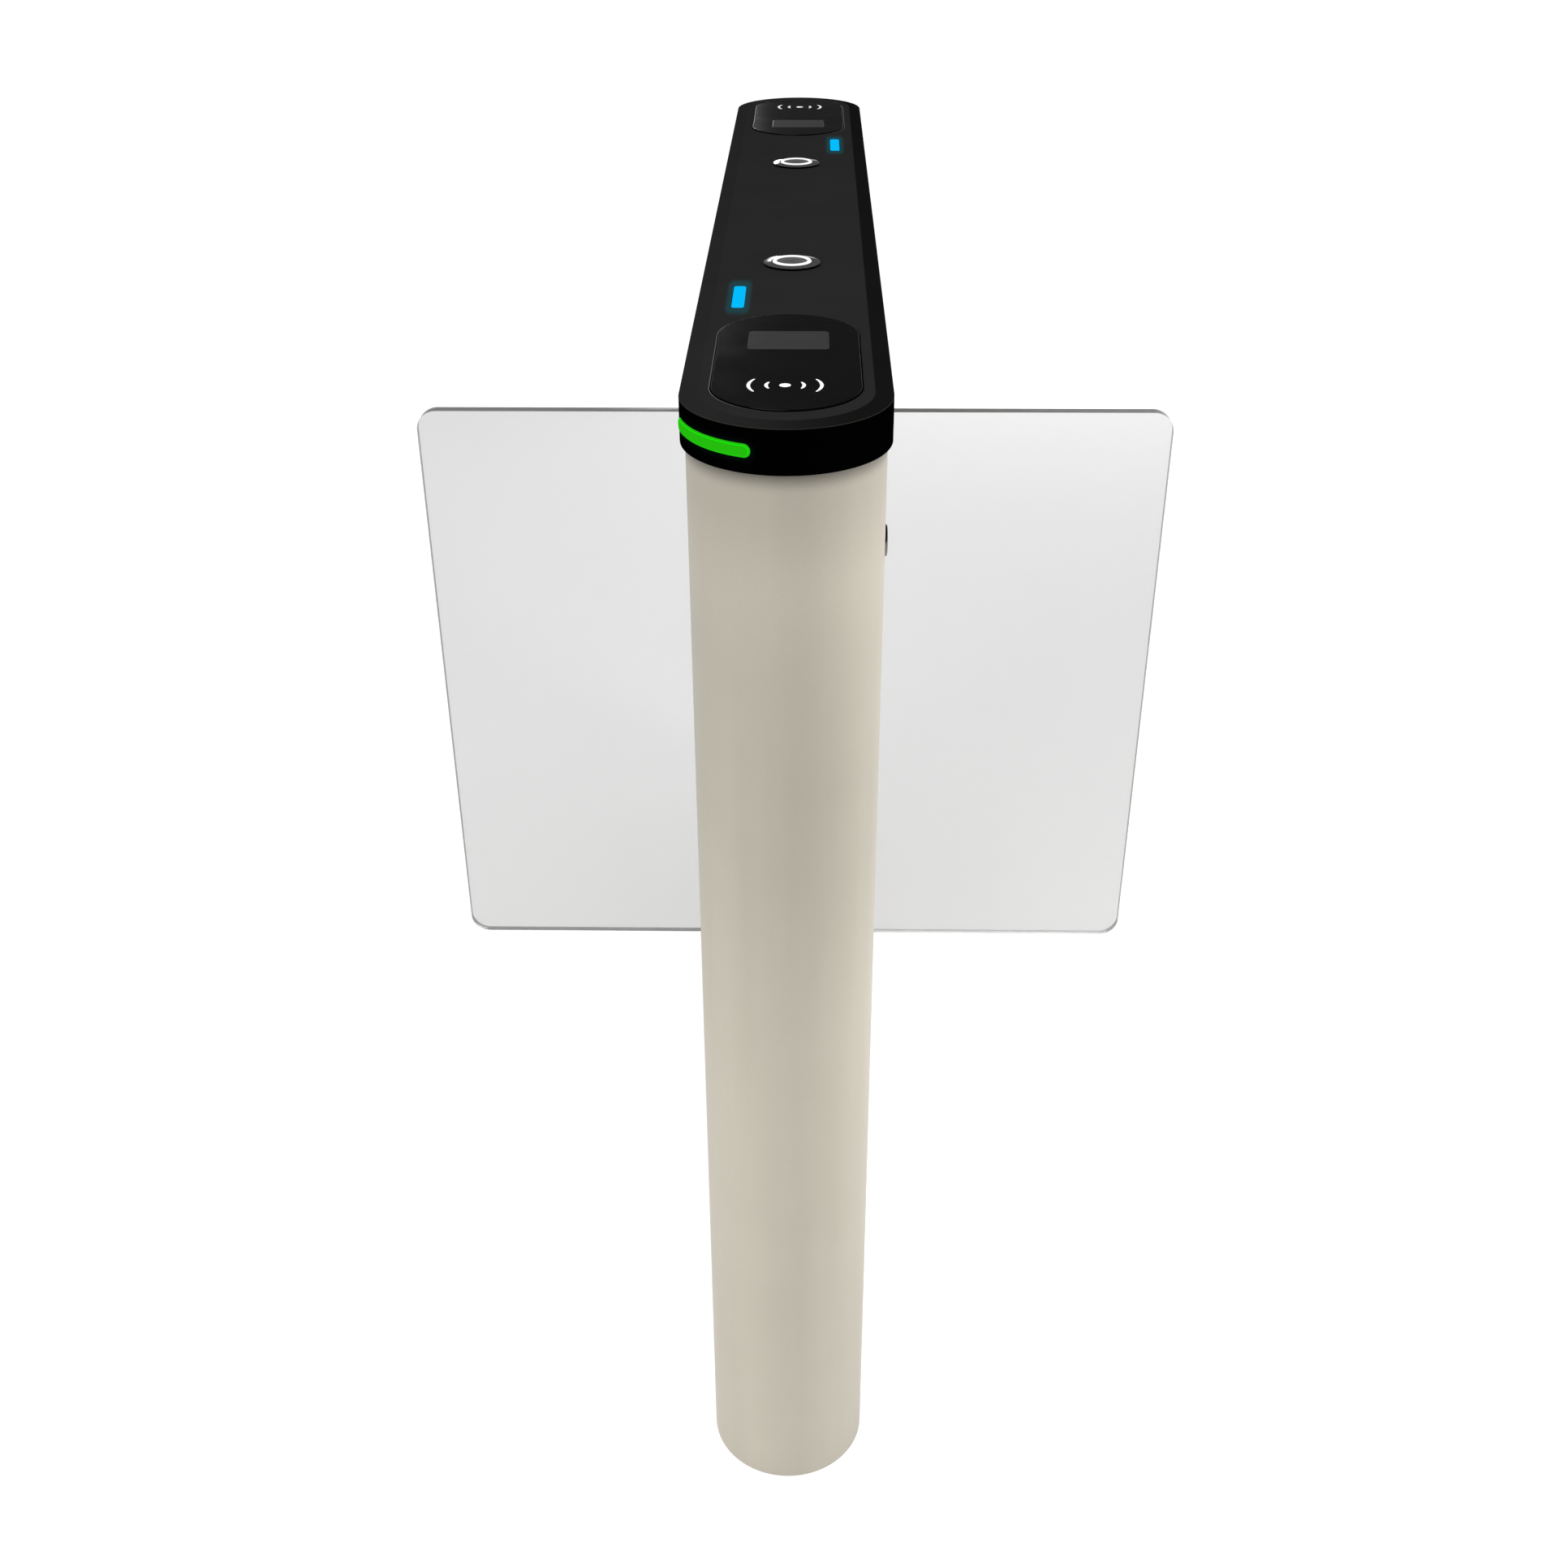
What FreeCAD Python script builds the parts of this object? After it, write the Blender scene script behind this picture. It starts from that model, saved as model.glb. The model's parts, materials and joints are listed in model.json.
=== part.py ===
import FreeCAD, Part
import math
import os

# A swing speed gate: a stadium-shaped cabinet under a slightly wider lid, with a clear wing on
# each long side. Millimetres, Z up, origin on the floor under the middle of the cabinet.
# X runs across the cabinet, Y along it, and the front end is at -Y.
# Every feature of the front end or the right wing has a twin half a turn about Z away.

# Lid and shells
gate_height = 1000.0
lid_length = 1200.0
lid_width = 143.0
lid_height = 32.5
lid_wall = 2.5
lid_top_thickness = 4.0
lid_bevel_inset = 13.0
lid_bevel_rise = 1.5
lid_edge_round = 0.8
lid_lap_gap = 1.0
shell_lap = 6.0
shell_wall = 1.5
shell_floor_gap = 1.0
seam_setback = 98.5
seam_gap = 0.5

# Fits shared by many pieces
seat_gap = 0.3
slide_gap = 0.1
journal_gap = 0.05
press_gap = 0.02
edge_tolerance = 0.001

# Base plate and inner frame
base_thickness = 8.0
anchor_radius = 7.0
anchor_half_spacing = 40.0
anchor_setback = 100.0
cable_entry_radius = 25.0
cable_entry_setback = 180.0
bulkhead_thickness = 2.0
bulkhead_setback = 15.0
bulkhead_flange = 30.0
bay_half_length = 60.0
post_width = 60.0
post_depth = 30.0
post_wall = 2.0
shelf_thickness = 8.0
shelf_side_gap = 6.5
shelf_flange_height = 20.0
shelf_flange_thickness = 3.0

# Lid chassis and the bosses that stand the lid on it
chassis_thickness = 2.0
lid_boss_height = 34.0
lid_boss_radius = 5.0
side_boss_wall_gap = 19.0
side_boss_setback = 79.0
end_boss_setback = 17.0
chassis_cable_radius = 20.0

# Wings and their columns
glass_thickness = 12.0
glass_height = 618.0
glass_corner = 20.0
wing_reach = 294.0
wing_side_gap = 2.0
gasket_thickness = 1.0
glass_end_gap = 1.0
column_radius = 14.0
column_flat = 11.0
slot_back = 8.0
column_foot = 19.0
column_head = 17.0
journal_radius = 8.0
journal_tail = 2.0
bush_wall = 2.5
bush_lip = 2.5
bush_flange = 2.0
upper_thrust_gap = 6.0
clamp_bolt_radius = 3.0
clamp_head_radius = 5.0
clamp_head_height = 3.0
clamp_lip = 2.5
clamp_offset = 2.0
clamp_glass_gap = 1.0
clamp_end_margin = 70.0

# Wing drive
motor_floor_gap = 16.0
motor_length = 100.0
gearbox_radius = 21.0
gearbox_share = 45.0
motor_radius = 19.5
motor_cap_radius = 15.0
motor_cap_height = 8.0
shaft_radius = 6.0
shaft_depth = 30.0
shaft_hole_gap = 2.0
gear_module = 1.5
wing_teeth = 16
drive_teeth = 32
gear_width = 16.0
gear_hub_height = 11.0
gear_hub_radius = 10.0
gear_clear_above = 11.0
gear_dedendum = 1.25
tooth_thinning = 0.12
pressure_angle = math.radians(20.0)
guard_gap = 1.0
guard_wall = 1.5
guard_reach = 13.0

# Recess behind each column
channel_wall = 1.5
channel_gap = 2.0
channel_flange = 12.5
window_gap = 1.5
window_end_gap = 2.0
channel_above_gears = 5.0

# Reader, display and lights in the lid
reader_half_width = 50.5
reader_length = 220.0
reader_end_margin = 29.5
reader_proud = 1.0
reader_ledge_width = 3.0
reader_ledge = 1.0
reader_groove = 1.0
display_width = 57.0
display_length = 45.0
display_corner = 2.5
display_setback = 43.5
display_sink = 0.1
display_gap = 0.2
board_half_width = 42.0
board_end_margin = 15.0
board_drop = 14.0
board_thickness = 1.6
board_post_radius = 4.0
board_post_inset = 7.0
light_length = 62.0
light_width = 9.5
light_corner = 3.0
light_offset = 40.0
light_reader_gap = 20.5
light_flange = 3.0
light_flange_thickness = 2.0
lamp_height = 9.2
lamp_lift = 15.0
lamp_start = -170.0
lamp_end = -108.0
lamp_proud = 1.2
lamp_flange = 2.0
lamp_flange_thickness = 1.5

# Push buttons
button_light_gap = 69.0
button_flange_radius = 23.5
button_flange_rim = 1.6
button_height = 3.4
button_ring_proud = 0.9
button_ring_round = 0.8
button_shoulder_radius = 17.4
button_barrel_radius = 19.9
button_under_gap = 1.5
button_floor = 3.0
button_ring_outer = 15.8
button_ring_inner = 12.9
button_ring_depth = 5.5
button_ledge = 1.2
button_travel = 2.5
cap_collar_gap = 0.4
cap_collar_height = 3.0
cap_stem_radius = 4.0
cap_stem_rise = 1.0
spring_radius = 7.0
spring_wire = 0.6
spring_turns = 7
spring_steps = 4
nut_height = 5.0
button_nut_radius = 27.0

# Lid locks
lock_setback = 43.5
lock_drop = 91.5
lock_head_radius = 11.5
lock_head_height = 3.5
lock_head_round = 1.2
lock_barrel_radius = 9.5
lock_barrel_length = 14.5
lock_plug_radius = 6.0
lock_plug_sink = 0.3
lock_nut_radius = 13.0
key_slot_length = 8.0
key_slot_width = 2.0
key_slot_depth = 8.0
cam_thickness = 3.0
cam_half_width = 6.0
cam_length = 45.0
keeper_thickness = 2.0
keeper_width = 20.0
keeper_wall_gap = 6.0
keeper_foot_margin = 3.0

# Sensors, electronics and panel screws
sensor_lens_radius = 9.0
sensor_body_radius = 12.0
sensor_body_length = 22.0
sensor_setback = 180.0
sensor_low = 250.0
sensor_pitch = 250.0
sensor_rows = 3
unit_half_width = 45.0
unit_depth = 50.0
control_unit_bottom = 520.0
control_unit_height = 220.0
power_supply_bottom = 300.0
power_supply_height = 200.0
unit_edge_round = 3.0
screw_radius = 1.5
screw_head_radius = 2.9
screw_length = 5.0
screw_rows = 4
screw_end_margin = 60.0
screw_seam_offset = 7.5

# Worked out from the sizes above
lid_radius = lid_width / 2
lid_inner = lid_radius - lid_wall
end_centre = lid_length / 2 - lid_radius
lid_bottom = gate_height - lid_height
lid_under = gate_height - lid_top_thickness
band_top = gate_height - lid_bevel_rise
body_radius = lid_inner - lid_lap_gap
shell_inner = body_radius - shell_wall
shell_top = lid_bottom + shell_lap
seam_y = end_centre - seam_setback
chassis_top = lid_under - lid_boss_height
chassis_bottom = chassis_top - chassis_thickness
bulkhead_y = seam_y - bulkhead_setback

wing_axis = body_radius + wing_side_gap + glass_thickness / 2
shelf_half_width = shell_inner - shelf_side_gap
drive_shelf_bottom = base_thickness + motor_floor_gap + motor_length
drive_shelf_top = drive_shelf_bottom + shelf_thickness
gear_bottom = drive_shelf_top + bush_flange + gear_hub_height
gear_top = gear_bottom + gear_width
column_bottom = gear_top + gear_clear_above
glass_bottom = column_bottom + column_foot
glass_top = glass_bottom + glass_height
column_top = glass_top + column_head
bearing_shelf_bottom = column_top + upper_thrust_gap + bush_flange
bearing_shelf_top = bearing_shelf_bottom + shelf_thickness
slot_half_width = glass_thickness / 2 + gasket_thickness
slot_floor = wing_axis - slot_back
bush_radius = journal_radius + journal_gap + bush_wall

wing_pitch_radius = gear_module * wing_teeth / 2
drive_pitch_radius = gear_module * drive_teeth / 2
motor_axis = wing_axis - wing_pitch_radius - drive_pitch_radius
guard_inner = wing_pitch_radius + gear_module + guard_gap
ear_radius = guard_inner + guard_wall
window_half = max(ear_radius + window_gap, column_radius + channel_gap + channel_wall)
window_bottom = drive_shelf_bottom - window_end_gap
window_top = bearing_shelf_top + window_end_gap

reader_outer = lid_length / 2 - reader_end_margin
reader_centre = reader_outer - reader_length / 2
reader_inner = reader_outer - reader_length
reader_top = gate_height + reader_proud
reader_seat = lid_under + reader_ledge
display_centre = reader_inner + display_setback + display_length / 2
board_top = gate_height - board_drop
light_centre = reader_inner - light_reader_gap - light_length / 2
button_y = light_centre - light_length / 2 - button_light_gap
lamp_middle = lid_bottom + lamp_lift
lock_y = -(end_centre - lock_setback)
lock_z = lid_bottom - lock_drop
cam_outer = body_radius - lock_barrel_length - seat_gap
keeper_outer = shell_inner - keeper_wall_gap
keeper_y = lock_y + cam_length - keeper_width / 2


def box(x0, x1, y0, y1, z0, z1):
    return Part.makeBox(x1 - x0, y1 - y0, z1 - z0, FreeCAD.Vector(x0, y0, z0))


def rod(radius, z0, z1, x=0.0, y=0.0):
    return Part.makeCylinder(radius, z1 - z0, FreeCAD.Vector(x, y, z0))


def rod_x(radius, x0, x1, y, z):
    return Part.makeCylinder(radius, x1 - x0, FreeCAD.Vector(x0, y, z), FreeCAD.Vector(1, 0, 0))


def rod_y(radius, y0, y1, x, z):
    return Part.makeCylinder(radius, y1 - y0, FreeCAD.Vector(x, y0, z), FreeCAD.Vector(0, 1, 0))


def stadium_wire(radius, half_straight, z, y=0.0):
    right_front = FreeCAD.Vector(radius, y - half_straight, z)
    right_rear = FreeCAD.Vector(radius, y + half_straight, z)
    left_front = FreeCAD.Vector(-radius, y - half_straight, z)
    left_rear = FreeCAD.Vector(-radius, y + half_straight, z)
    rear_tip = FreeCAD.Vector(0, y + half_straight + radius, z)
    front_tip = FreeCAD.Vector(0, y - half_straight - radius, z)
    return Part.Wire([
        Part.makeLine(right_front, right_rear),
        Part.Arc(right_rear, rear_tip, left_rear).toShape(),
        Part.makeLine(left_rear, left_front),
        Part.Arc(left_front, front_tip, right_front).toShape(),
    ])


def stadium(radius, half_straight, z0, z1, y=0.0):
    face = Part.Face(stadium_wire(radius, half_straight, z0, y))
    return face.extrude(FreeCAD.Vector(0, 0, z1 - z0))


def rounded_block(width, length, corner, x, y, z0, z1):
    block = box(x - width / 2, x + width / 2, y - length / 2, y + length / 2, z0, z1)
    upright = [
        edge for edge in block.Edges
        if abs(edge.BoundBox.ZLength - (z1 - z0)) < edge_tolerance]
    return block.makeFillet(corner, upright)


def hex_prism(radius, height):
    corners = []
    for step in range(7):
        angle = math.radians(60.0 * step)
        corners.append(FreeCAD.Vector(radius * math.cos(angle), radius * math.sin(angle), 0))
    return Part.Face(Part.makePolygon(corners)).extrude(FreeCAD.Vector(0, 0, height))


def revolved(points):
    outline = [FreeCAD.Vector(radius, 0, z) for radius, z in points]
    face = Part.Face(Part.makePolygon(outline + outline[:1]))
    return face.revolve(FreeCAD.Vector(0, 0, 0), FreeCAD.Vector(0, 0, 1), 360)


def moved(shape, x=0.0, y=0.0, z=0.0):
    return shape.translated(FreeCAD.Vector(x, y, z))


def half_turn(shape):
    return shape.rotated(FreeCAD.Vector(0, 0, 0), FreeCAD.Vector(0, 0, 1), 180)


def both_ends(shapes):
    return shapes + [half_turn(shape) for shape in shapes]


def save(name, *solids):
    shape = solids[0] if len(solids) == 1 else Part.makeCompound(list(solids))
    if not shape.isValid():
        raise ValueError(name + " is not a valid solid")
    shape.exportStep("parts/" + name + ".step")


def save_pair(name, first, second, shape):
    save(name + "_" + first, shape)
    save(name + "_" + second, half_turn(shape))


# Base plate: one thick plate inside the shells, with floor anchor holes and two cable entries.
def base_plate():
    plate = stadium(shell_inner - seat_gap, end_centre, 0, base_thickness)
    anchor_y = seam_y - anchor_setback
    holes = [rod(cable_entry_radius, 0, base_thickness, 0, seam_y - cable_entry_setback)]
    for x in (-anchor_half_spacing, anchor_half_spacing):
        holes.append(rod(anchor_radius, 0, base_thickness, x, anchor_y))
    return plate.cut(both_ends(holes))


def screw_heights():
    low = shell_floor_gap + screw_end_margin
    pitch = (shell_top - screw_end_margin - low) / (screw_rows - 1)
    return [low + pitch * row for row in range(screw_rows)]


# Countersunk screws on both sides of each seam, driven into the bulkhead flange behind it.
def screw_places():
    places = []
    for z in screw_heights():
        for y in (-seam_y - screw_seam_offset, -seam_y + screw_seam_offset):
            places.append((y, z))
    return places


def screw_shape(y, z, gap):
    head = Part.makeCone(
        screw_head_radius + gap, screw_radius + gap, shell_wall,
        FreeCAD.Vector(body_radius, y, z), FreeCAD.Vector(-1, 0, 0))
    return head.fuse(rod_x(screw_radius + gap, body_radius - screw_length, body_radius, y, z))


def screws_at_front(gap):
    right = [screw_shape(y, z, gap) for y, z in screw_places()]
    mirror_normal = FreeCAD.Vector(1, 0, 0)
    left = [shape.mirror(FreeCAD.Vector(0, 0, 0), mirror_normal) for shape in right]
    return right + left


# End shell: half a stadium of bent sheet with straight flanks, pierced for the lid lock.
def end_shell():
    outside = stadium(body_radius, end_centre, shell_floor_gap, shell_top)
    inside = stadium(shell_inner, end_centre, shell_floor_gap, shell_top)
    far = lid_length
    rest = box(-far, far, -seam_y - seam_gap / 2, far, 0, gate_height)
    lock_hole = rod_x(lock_barrel_radius + slide_gap, 0, body_radius, lock_y, lock_z)
    return outside.cut([inside, rest, lock_hole]).cut(screws_at_front(journal_gap))


# Side panel: a flat service panel with the tall window for the wing column.
def side_panel_right():
    half = seam_y - seam_gap / 2
    panel = box(shell_inner, body_radius, -half, half, shell_floor_gap, shell_top)
    window = box(0, wing_axis, -window_half, window_half, window_bottom, window_top)
    cuts = [window]
    for y, z in sensor_places():
        cuts.append(rod_x(sensor_lens_radius + slide_gap, shell_inner, body_radius, y, z))
    screws = screws_at_front(journal_gap)
    return panel.cut(cuts + both_ends(screws))


# Bulkhead: a channel across the cabinet whose flanges back the seam on both sides.
def bulkhead():
    web_rear = -bulkhead_y
    web = box(
        -shell_inner, shell_inner, web_rear - bulkhead_thickness, web_rear,
        base_thickness, chassis_bottom)
    shape = web
    for side in (-1, 1):
        inner = side * (shell_inner - bulkhead_thickness)
        outer = side * shell_inner
        flange = box(
            min(inner, outer), max(inner, outer), web_rear - bulkhead_flange, web_rear,
            base_thickness, chassis_bottom)
        shape = shape.fuse(flange)
    return shape.removeSplitter().cut(screws_at_front(journal_gap))


# Inner post: a box tube from the base plate to the lid chassis, beside the drive bay.
def inner_post():
    near = -bay_half_length
    far = near - post_depth
    tube = box(-post_width / 2, post_width / 2, far, near, base_thickness, chassis_bottom)
    bore = box(
        -post_width / 2 + post_wall, post_width / 2 - post_wall, far + post_wall,
        near - post_wall, base_thickness, chassis_bottom)
    return tube.cut(bore)


# Shelf outline: a plate between the posts with a rounded ear under each wing column.
def shelf_plate(z0, z1):
    plate = box(
        -shelf_half_width, shelf_half_width, -bay_half_length, bay_half_length, z0, z1)
    for side in (-1, 1):
        ear_end = side * wing_axis
        arm = box(min(0, ear_end), max(0, ear_end), -ear_radius, ear_radius, z0, z1)
        plate = plate.fuse([arm, rod(ear_radius, z0, z1, ear_end)])
    plate = plate.removeSplitter()
    bushes = [rod(bush_radius + press_gap, z0, z1, side * wing_axis) for side in (-1, 1)]
    return plate.cut(bushes)


def shelf_flanges(z0, z1):
    flange = box(
        -post_width / 2, post_width / 2, -bay_half_length,
        -bay_half_length + shelf_flange_thickness, z0, z1)
    return both_ends([flange])


def drive_shelf():
    plate = shelf_plate(drive_shelf_bottom, drive_shelf_top)
    flanges = shelf_flanges(drive_shelf_top, drive_shelf_top + shelf_flange_height)
    hole_radius = shaft_radius + shaft_hole_gap
    holes = [
        rod(hole_radius, drive_shelf_bottom, drive_shelf_top, side * motor_axis)
        for side in (-1, 1)]
    return plate.fuse(flanges).removeSplitter().cut(holes)


def bearing_shelf():
    plate = shelf_plate(bearing_shelf_bottom, bearing_shelf_top)
    flanges = shelf_flanges(bearing_shelf_top, bearing_shelf_top + shelf_flange_height)
    return plate.fuse(flanges).removeSplitter()


# Flanged bush in each shelf ear: the lower flange carries the wing, the upper one faces down.
def column_bushes():
    bore = journal_radius + journal_gap
    lip = bush_radius + bush_lip
    low_flange_top = drive_shelf_top + bush_flange
    lower = rod(bush_radius, drive_shelf_bottom, drive_shelf_top, wing_axis)
    lower = lower.fuse(rod(lip, drive_shelf_top, low_flange_top, wing_axis))
    lower = lower.cut(rod(bore, drive_shelf_bottom, low_flange_top, wing_axis))
    high_flange_bottom = bearing_shelf_bottom - bush_flange
    upper = rod(bush_radius, bearing_shelf_bottom, bearing_shelf_top, wing_axis)
    upper = upper.fuse(rod(lip, high_flange_bottom, bearing_shelf_bottom, wing_axis))
    upper = upper.cut(rod(bore, high_flange_bottom, bearing_shelf_top, wing_axis))
    return both_ends([lower, upper])


# Gear guard: a half-round cover standing on the shelf ear, round the gear outside the panel.
def gear_guard():
    z0 = drive_shelf_top
    z1 = column_bottom - seat_gap
    start = wing_axis - guard_reach
    outside = box(start, wing_axis, -ear_radius, ear_radius, z0, z1)
    outside = outside.fuse(rod(ear_radius, z0, z1, wing_axis))
    inside = box(start, wing_axis, -guard_inner, guard_inner, z0, z1)
    inside = inside.fuse(rod(guard_inner, z0, z1, wing_axis))
    return outside.cut([inside, box(0, start, -ear_radius, ear_radius, z0, z1)])


# Bay channel: the closed recess behind the column, flanged against the inside of the panel.
def bay_channel():
    z0 = gear_top + channel_above_gears
    z1 = bearing_shelf_bottom - bush_flange
    back = wing_axis - column_radius - channel_gap - channel_wall
    outer_flange = window_half + channel_flange
    shape = box(back, shell_inner, -window_half, window_half, z0, z1)
    shape = shape.fuse(
        box(shell_inner - channel_wall, shell_inner, -outer_flange, outer_flange, z0, z1))
    inner_half = window_half - channel_wall
    hollow = box(back + channel_wall, shell_inner, -inner_half, inner_half, z0, z1)
    return shape.removeSplitter().cut(hollow)


# Gearmotor: gearbox, motor can and end cap in line, hung under the drive shelf.
def gearmotor():
    top = drive_shelf_bottom
    bottom = top - motor_length
    gearbox_bottom = top - gearbox_share
    cap_top = bottom + motor_cap_height
    shape = rod(gearbox_radius, gearbox_bottom, top, motor_axis)
    shape = shape.fuse([
        rod(motor_radius, cap_top, gearbox_bottom, motor_axis),
        rod(motor_cap_radius, bottom, cap_top, motor_axis)])
    return shape.cut(rod(shaft_radius + journal_gap, top - shaft_depth, top, motor_axis))


# Spur gear on the Z axis: each flank is an arc through three points of its involute.
def gear_outline(teeth):
    pitch_radius = gear_module * teeth / 2
    base_radius = pitch_radius * math.cos(pressure_angle)
    tip_radius = pitch_radius + gear_module
    root_radius = pitch_radius - gear_dedendum * gear_module
    flank_start = max(base_radius, root_radius)
    half_tooth = math.pi / (2 * teeth) - tooth_thinning / (2 * pitch_radius)
    involute_pitch = math.tan(pressure_angle) - pressure_angle

    def flank_angle(radius):
        roll = math.acos(min(1.0, base_radius / radius))
        return half_tooth + involute_pitch - (math.tan(roll) - roll)

    def point(radius, angle):
        return FreeCAD.Vector(radius * math.cos(angle), radius * math.sin(angle), 0)

    middle = (flank_start + tip_radius) / 2
    edges = []
    for tooth in range(teeth):
        centre = 2 * math.pi * tooth / teeth
        following = 2 * math.pi * (tooth + 1) / teeth
        low = flank_angle(flank_start)
        mid = flank_angle(middle)
        high = flank_angle(tip_radius)
        if flank_start > root_radius:
            edges.append(Part.makeLine(
                point(root_radius, centre - low), point(flank_start, centre - low)))
        edges.append(Part.Arc(
            point(flank_start, centre - low), point(middle, centre - mid),
            point(tip_radius, centre - high)).toShape())
        edges.append(Part.Arc(
            point(tip_radius, centre - high), point(tip_radius, centre),
            point(tip_radius, centre + high)).toShape())
        edges.append(Part.Arc(
            point(tip_radius, centre + high), point(middle, centre + mid),
            point(flank_start, centre + low)).toShape())
        if flank_start > root_radius:
            edges.append(Part.makeLine(
                point(flank_start, centre + low), point(root_radius, centre + low)))
        edges.append(Part.Arc(
            point(root_radius, centre + low),
            point(root_radius, (centre + following) / 2),
            point(root_radius, following - low)).toShape())
    return Part.Face(Part.Wire(edges))


def spur_gear(teeth, turn):
    body = gear_outline(teeth).extrude(FreeCAD.Vector(0, 0, gear_width))
    body = body.rotated(FreeCAD.Vector(0, 0, 0), FreeCAD.Vector(0, 0, 1), turn)
    return moved(body, z=gear_bottom)


# Wing gear: keyed on the lower journal, its hub standing on the bush flange.
def wing_gear():
    hub_bottom = gear_bottom - gear_hub_height + journal_gap
    body = spur_gear(wing_teeth, 0.0)
    body = body.fuse(rod(gear_hub_radius, hub_bottom, gear_bottom)).removeSplitter()
    body = body.cut(rod(journal_radius + press_gap, hub_bottom, gear_top))
    return moved(body, x=wing_axis)


# Drive gear: one piece with the output shaft that runs down into the gearbox.
def drive_gear():
    shaft_bottom = drive_shelf_bottom - shaft_depth + seat_gap
    body = spur_gear(drive_teeth, 180.0 / drive_teeth)
    body = body.fuse(rod(shaft_radius, shaft_bottom, gear_bottom)).removeSplitter()
    return moved(body, x=motor_axis)


def clamp_heights():
    low = glass_bottom + clamp_end_margin
    high = glass_top - clamp_end_margin
    return [low, (low + high) / 2, high]


# Clamp bolts: sleeve bolts through the column lips, the gasket and the glass.
def clamp_bolts():
    x = wing_axis + clamp_offset
    seat = slot_half_width + clamp_lip
    bolts = []
    for z in clamp_heights():
        bolt = rod_y(clamp_bolt_radius, -seat, seat, x, z)
        bolt = bolt.fuse([
            rod_y(clamp_head_radius, seat, seat + clamp_head_height, x, z),
            rod_y(clamp_head_radius, -seat - clamp_head_height, -seat, x, z)])
        bolts.append(bolt)
    return bolts


# Wing column: a slotted bar with a flat front and a journal at each end.
def wing_column():
    shape = rod(column_radius, column_bottom, column_top, wing_axis)
    far = wing_axis + column_radius
    slot_bottom = glass_bottom - glass_end_gap
    slot_top = glass_top + glass_end_gap
    front = box(
        wing_axis + column_flat, far, -column_radius, column_radius, slot_bottom, slot_top)
    slot = box(slot_floor, far, -slot_half_width, slot_half_width, slot_bottom, slot_top)
    shape = shape.cut([front, slot])
    shape = shape.fuse([
        rod(journal_radius, drive_shelf_bottom - journal_tail, column_bottom, wing_axis),
        rod(journal_radius, column_top, bearing_shelf_top + journal_tail, wing_axis)])
    seat = slot_half_width + clamp_lip
    x = wing_axis + clamp_offset
    holes = []
    for z in clamp_heights():
        holes.append(rod_y(clamp_bolt_radius + journal_gap, -column_radius, column_radius, x, z))
        holes.append(rod_y(clamp_head_radius + slide_gap, seat, column_radius, x, z))
        holes.append(rod_y(clamp_head_radius + slide_gap, -column_radius, -seat, x, z))
    return shape.removeSplitter().cut(holes)


def clamp_holes(radius):
    x = wing_axis + clamp_offset
    return [rod_y(radius, -column_radius, column_radius, x, z) for z in clamp_heights()]


# Wing glass: a clear slab with rounded outer corners, its inner edge deep in the column slot.
def wing_glass():
    inner = slot_floor + gasket_thickness
    outer = wing_axis + wing_reach
    half = glass_thickness / 2
    slab = box(inner, outer, -half, half, glass_bottom, glass_top)
    corners = [
        edge for edge in slab.Edges
        if abs(edge.BoundBox.YLength - glass_thickness) < edge_tolerance
        and edge.BoundBox.XMin > outer - edge_tolerance]
    return slab.makeFillet(glass_corner, corners).cut(
        clamp_holes(clamp_bolt_radius + clamp_glass_gap))


# Glass gasket: a thin channel of rubber between the glass and the column slot.
def glass_gasket():
    front = wing_axis + column_flat
    half = glass_thickness / 2
    outside = box(slot_floor, front, -slot_half_width, slot_half_width, glass_bottom, glass_top)
    inside = box(
        slot_floor + gasket_thickness, front, -half, half, glass_bottom, glass_top)
    return outside.cut([inside] + clamp_holes(clamp_bolt_radius + slide_gap))


def sensor_places():
    y = seam_y - sensor_setback
    heights = [sensor_low + sensor_pitch * row for row in range(sensor_rows)]
    return [(side * y, z) for side in (-1, 1) for z in heights]


# Beam sensors: round lenses flush with the panels, bodies seated against the inside.
def beam_sensors():
    right = []
    for y, z in sensor_places():
        lens = rod_x(sensor_lens_radius, shell_inner, body_radius, y, z)
        body = rod_x(sensor_body_radius, shell_inner - sensor_body_length, shell_inner, y, z)
        right.append(lens.fuse(body))
    return both_ends(right)


# Electronics: the control unit on the front bulkhead and the power supply on the rear one.
def electronics_box(bottom, height):
    back = -bulkhead_y
    shape = box(
        -unit_half_width, unit_half_width, back, back + unit_depth, bottom, bottom + height)
    front_edges = [
        edge for edge in shape.Edges
        if edge.BoundBox.YMin > back + unit_depth - edge_tolerance]
    return shape.makeFillet(unit_edge_round, front_edges)


# Lid chassis: the plate that closes the shells, with posts for the reader boards.
def lid_chassis():
    plate = stadium(shell_inner - seat_gap, end_centre, chassis_bottom, chassis_top)
    keeper_notch = box(
        keeper_outer - keeper_thickness - seat_gap, lid_radius,
        keeper_y - keeper_width / 2 - seat_gap, keeper_y + keeper_width / 2 + seat_gap,
        chassis_bottom, chassis_top)
    cable_hole = rod(chassis_cable_radius, chassis_bottom, chassis_top, 0, -light_centre)
    posts = []
    for x, y in board_post_places():
        posts.append(rod(board_post_radius, chassis_top, board_top - board_thickness, x, y))
    return plate.cut(both_ends([keeper_notch, cable_hole])).fuse(both_ends(posts))


def board_half_length():
    return reader_length / 2 - board_end_margin


def board_post_places():
    x = board_half_width - board_post_inset
    along = board_half_length() - board_post_inset
    return [(i * x, -reader_centre + j * along) for i in (-1, 1) for j in (-1, 1)]


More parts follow.
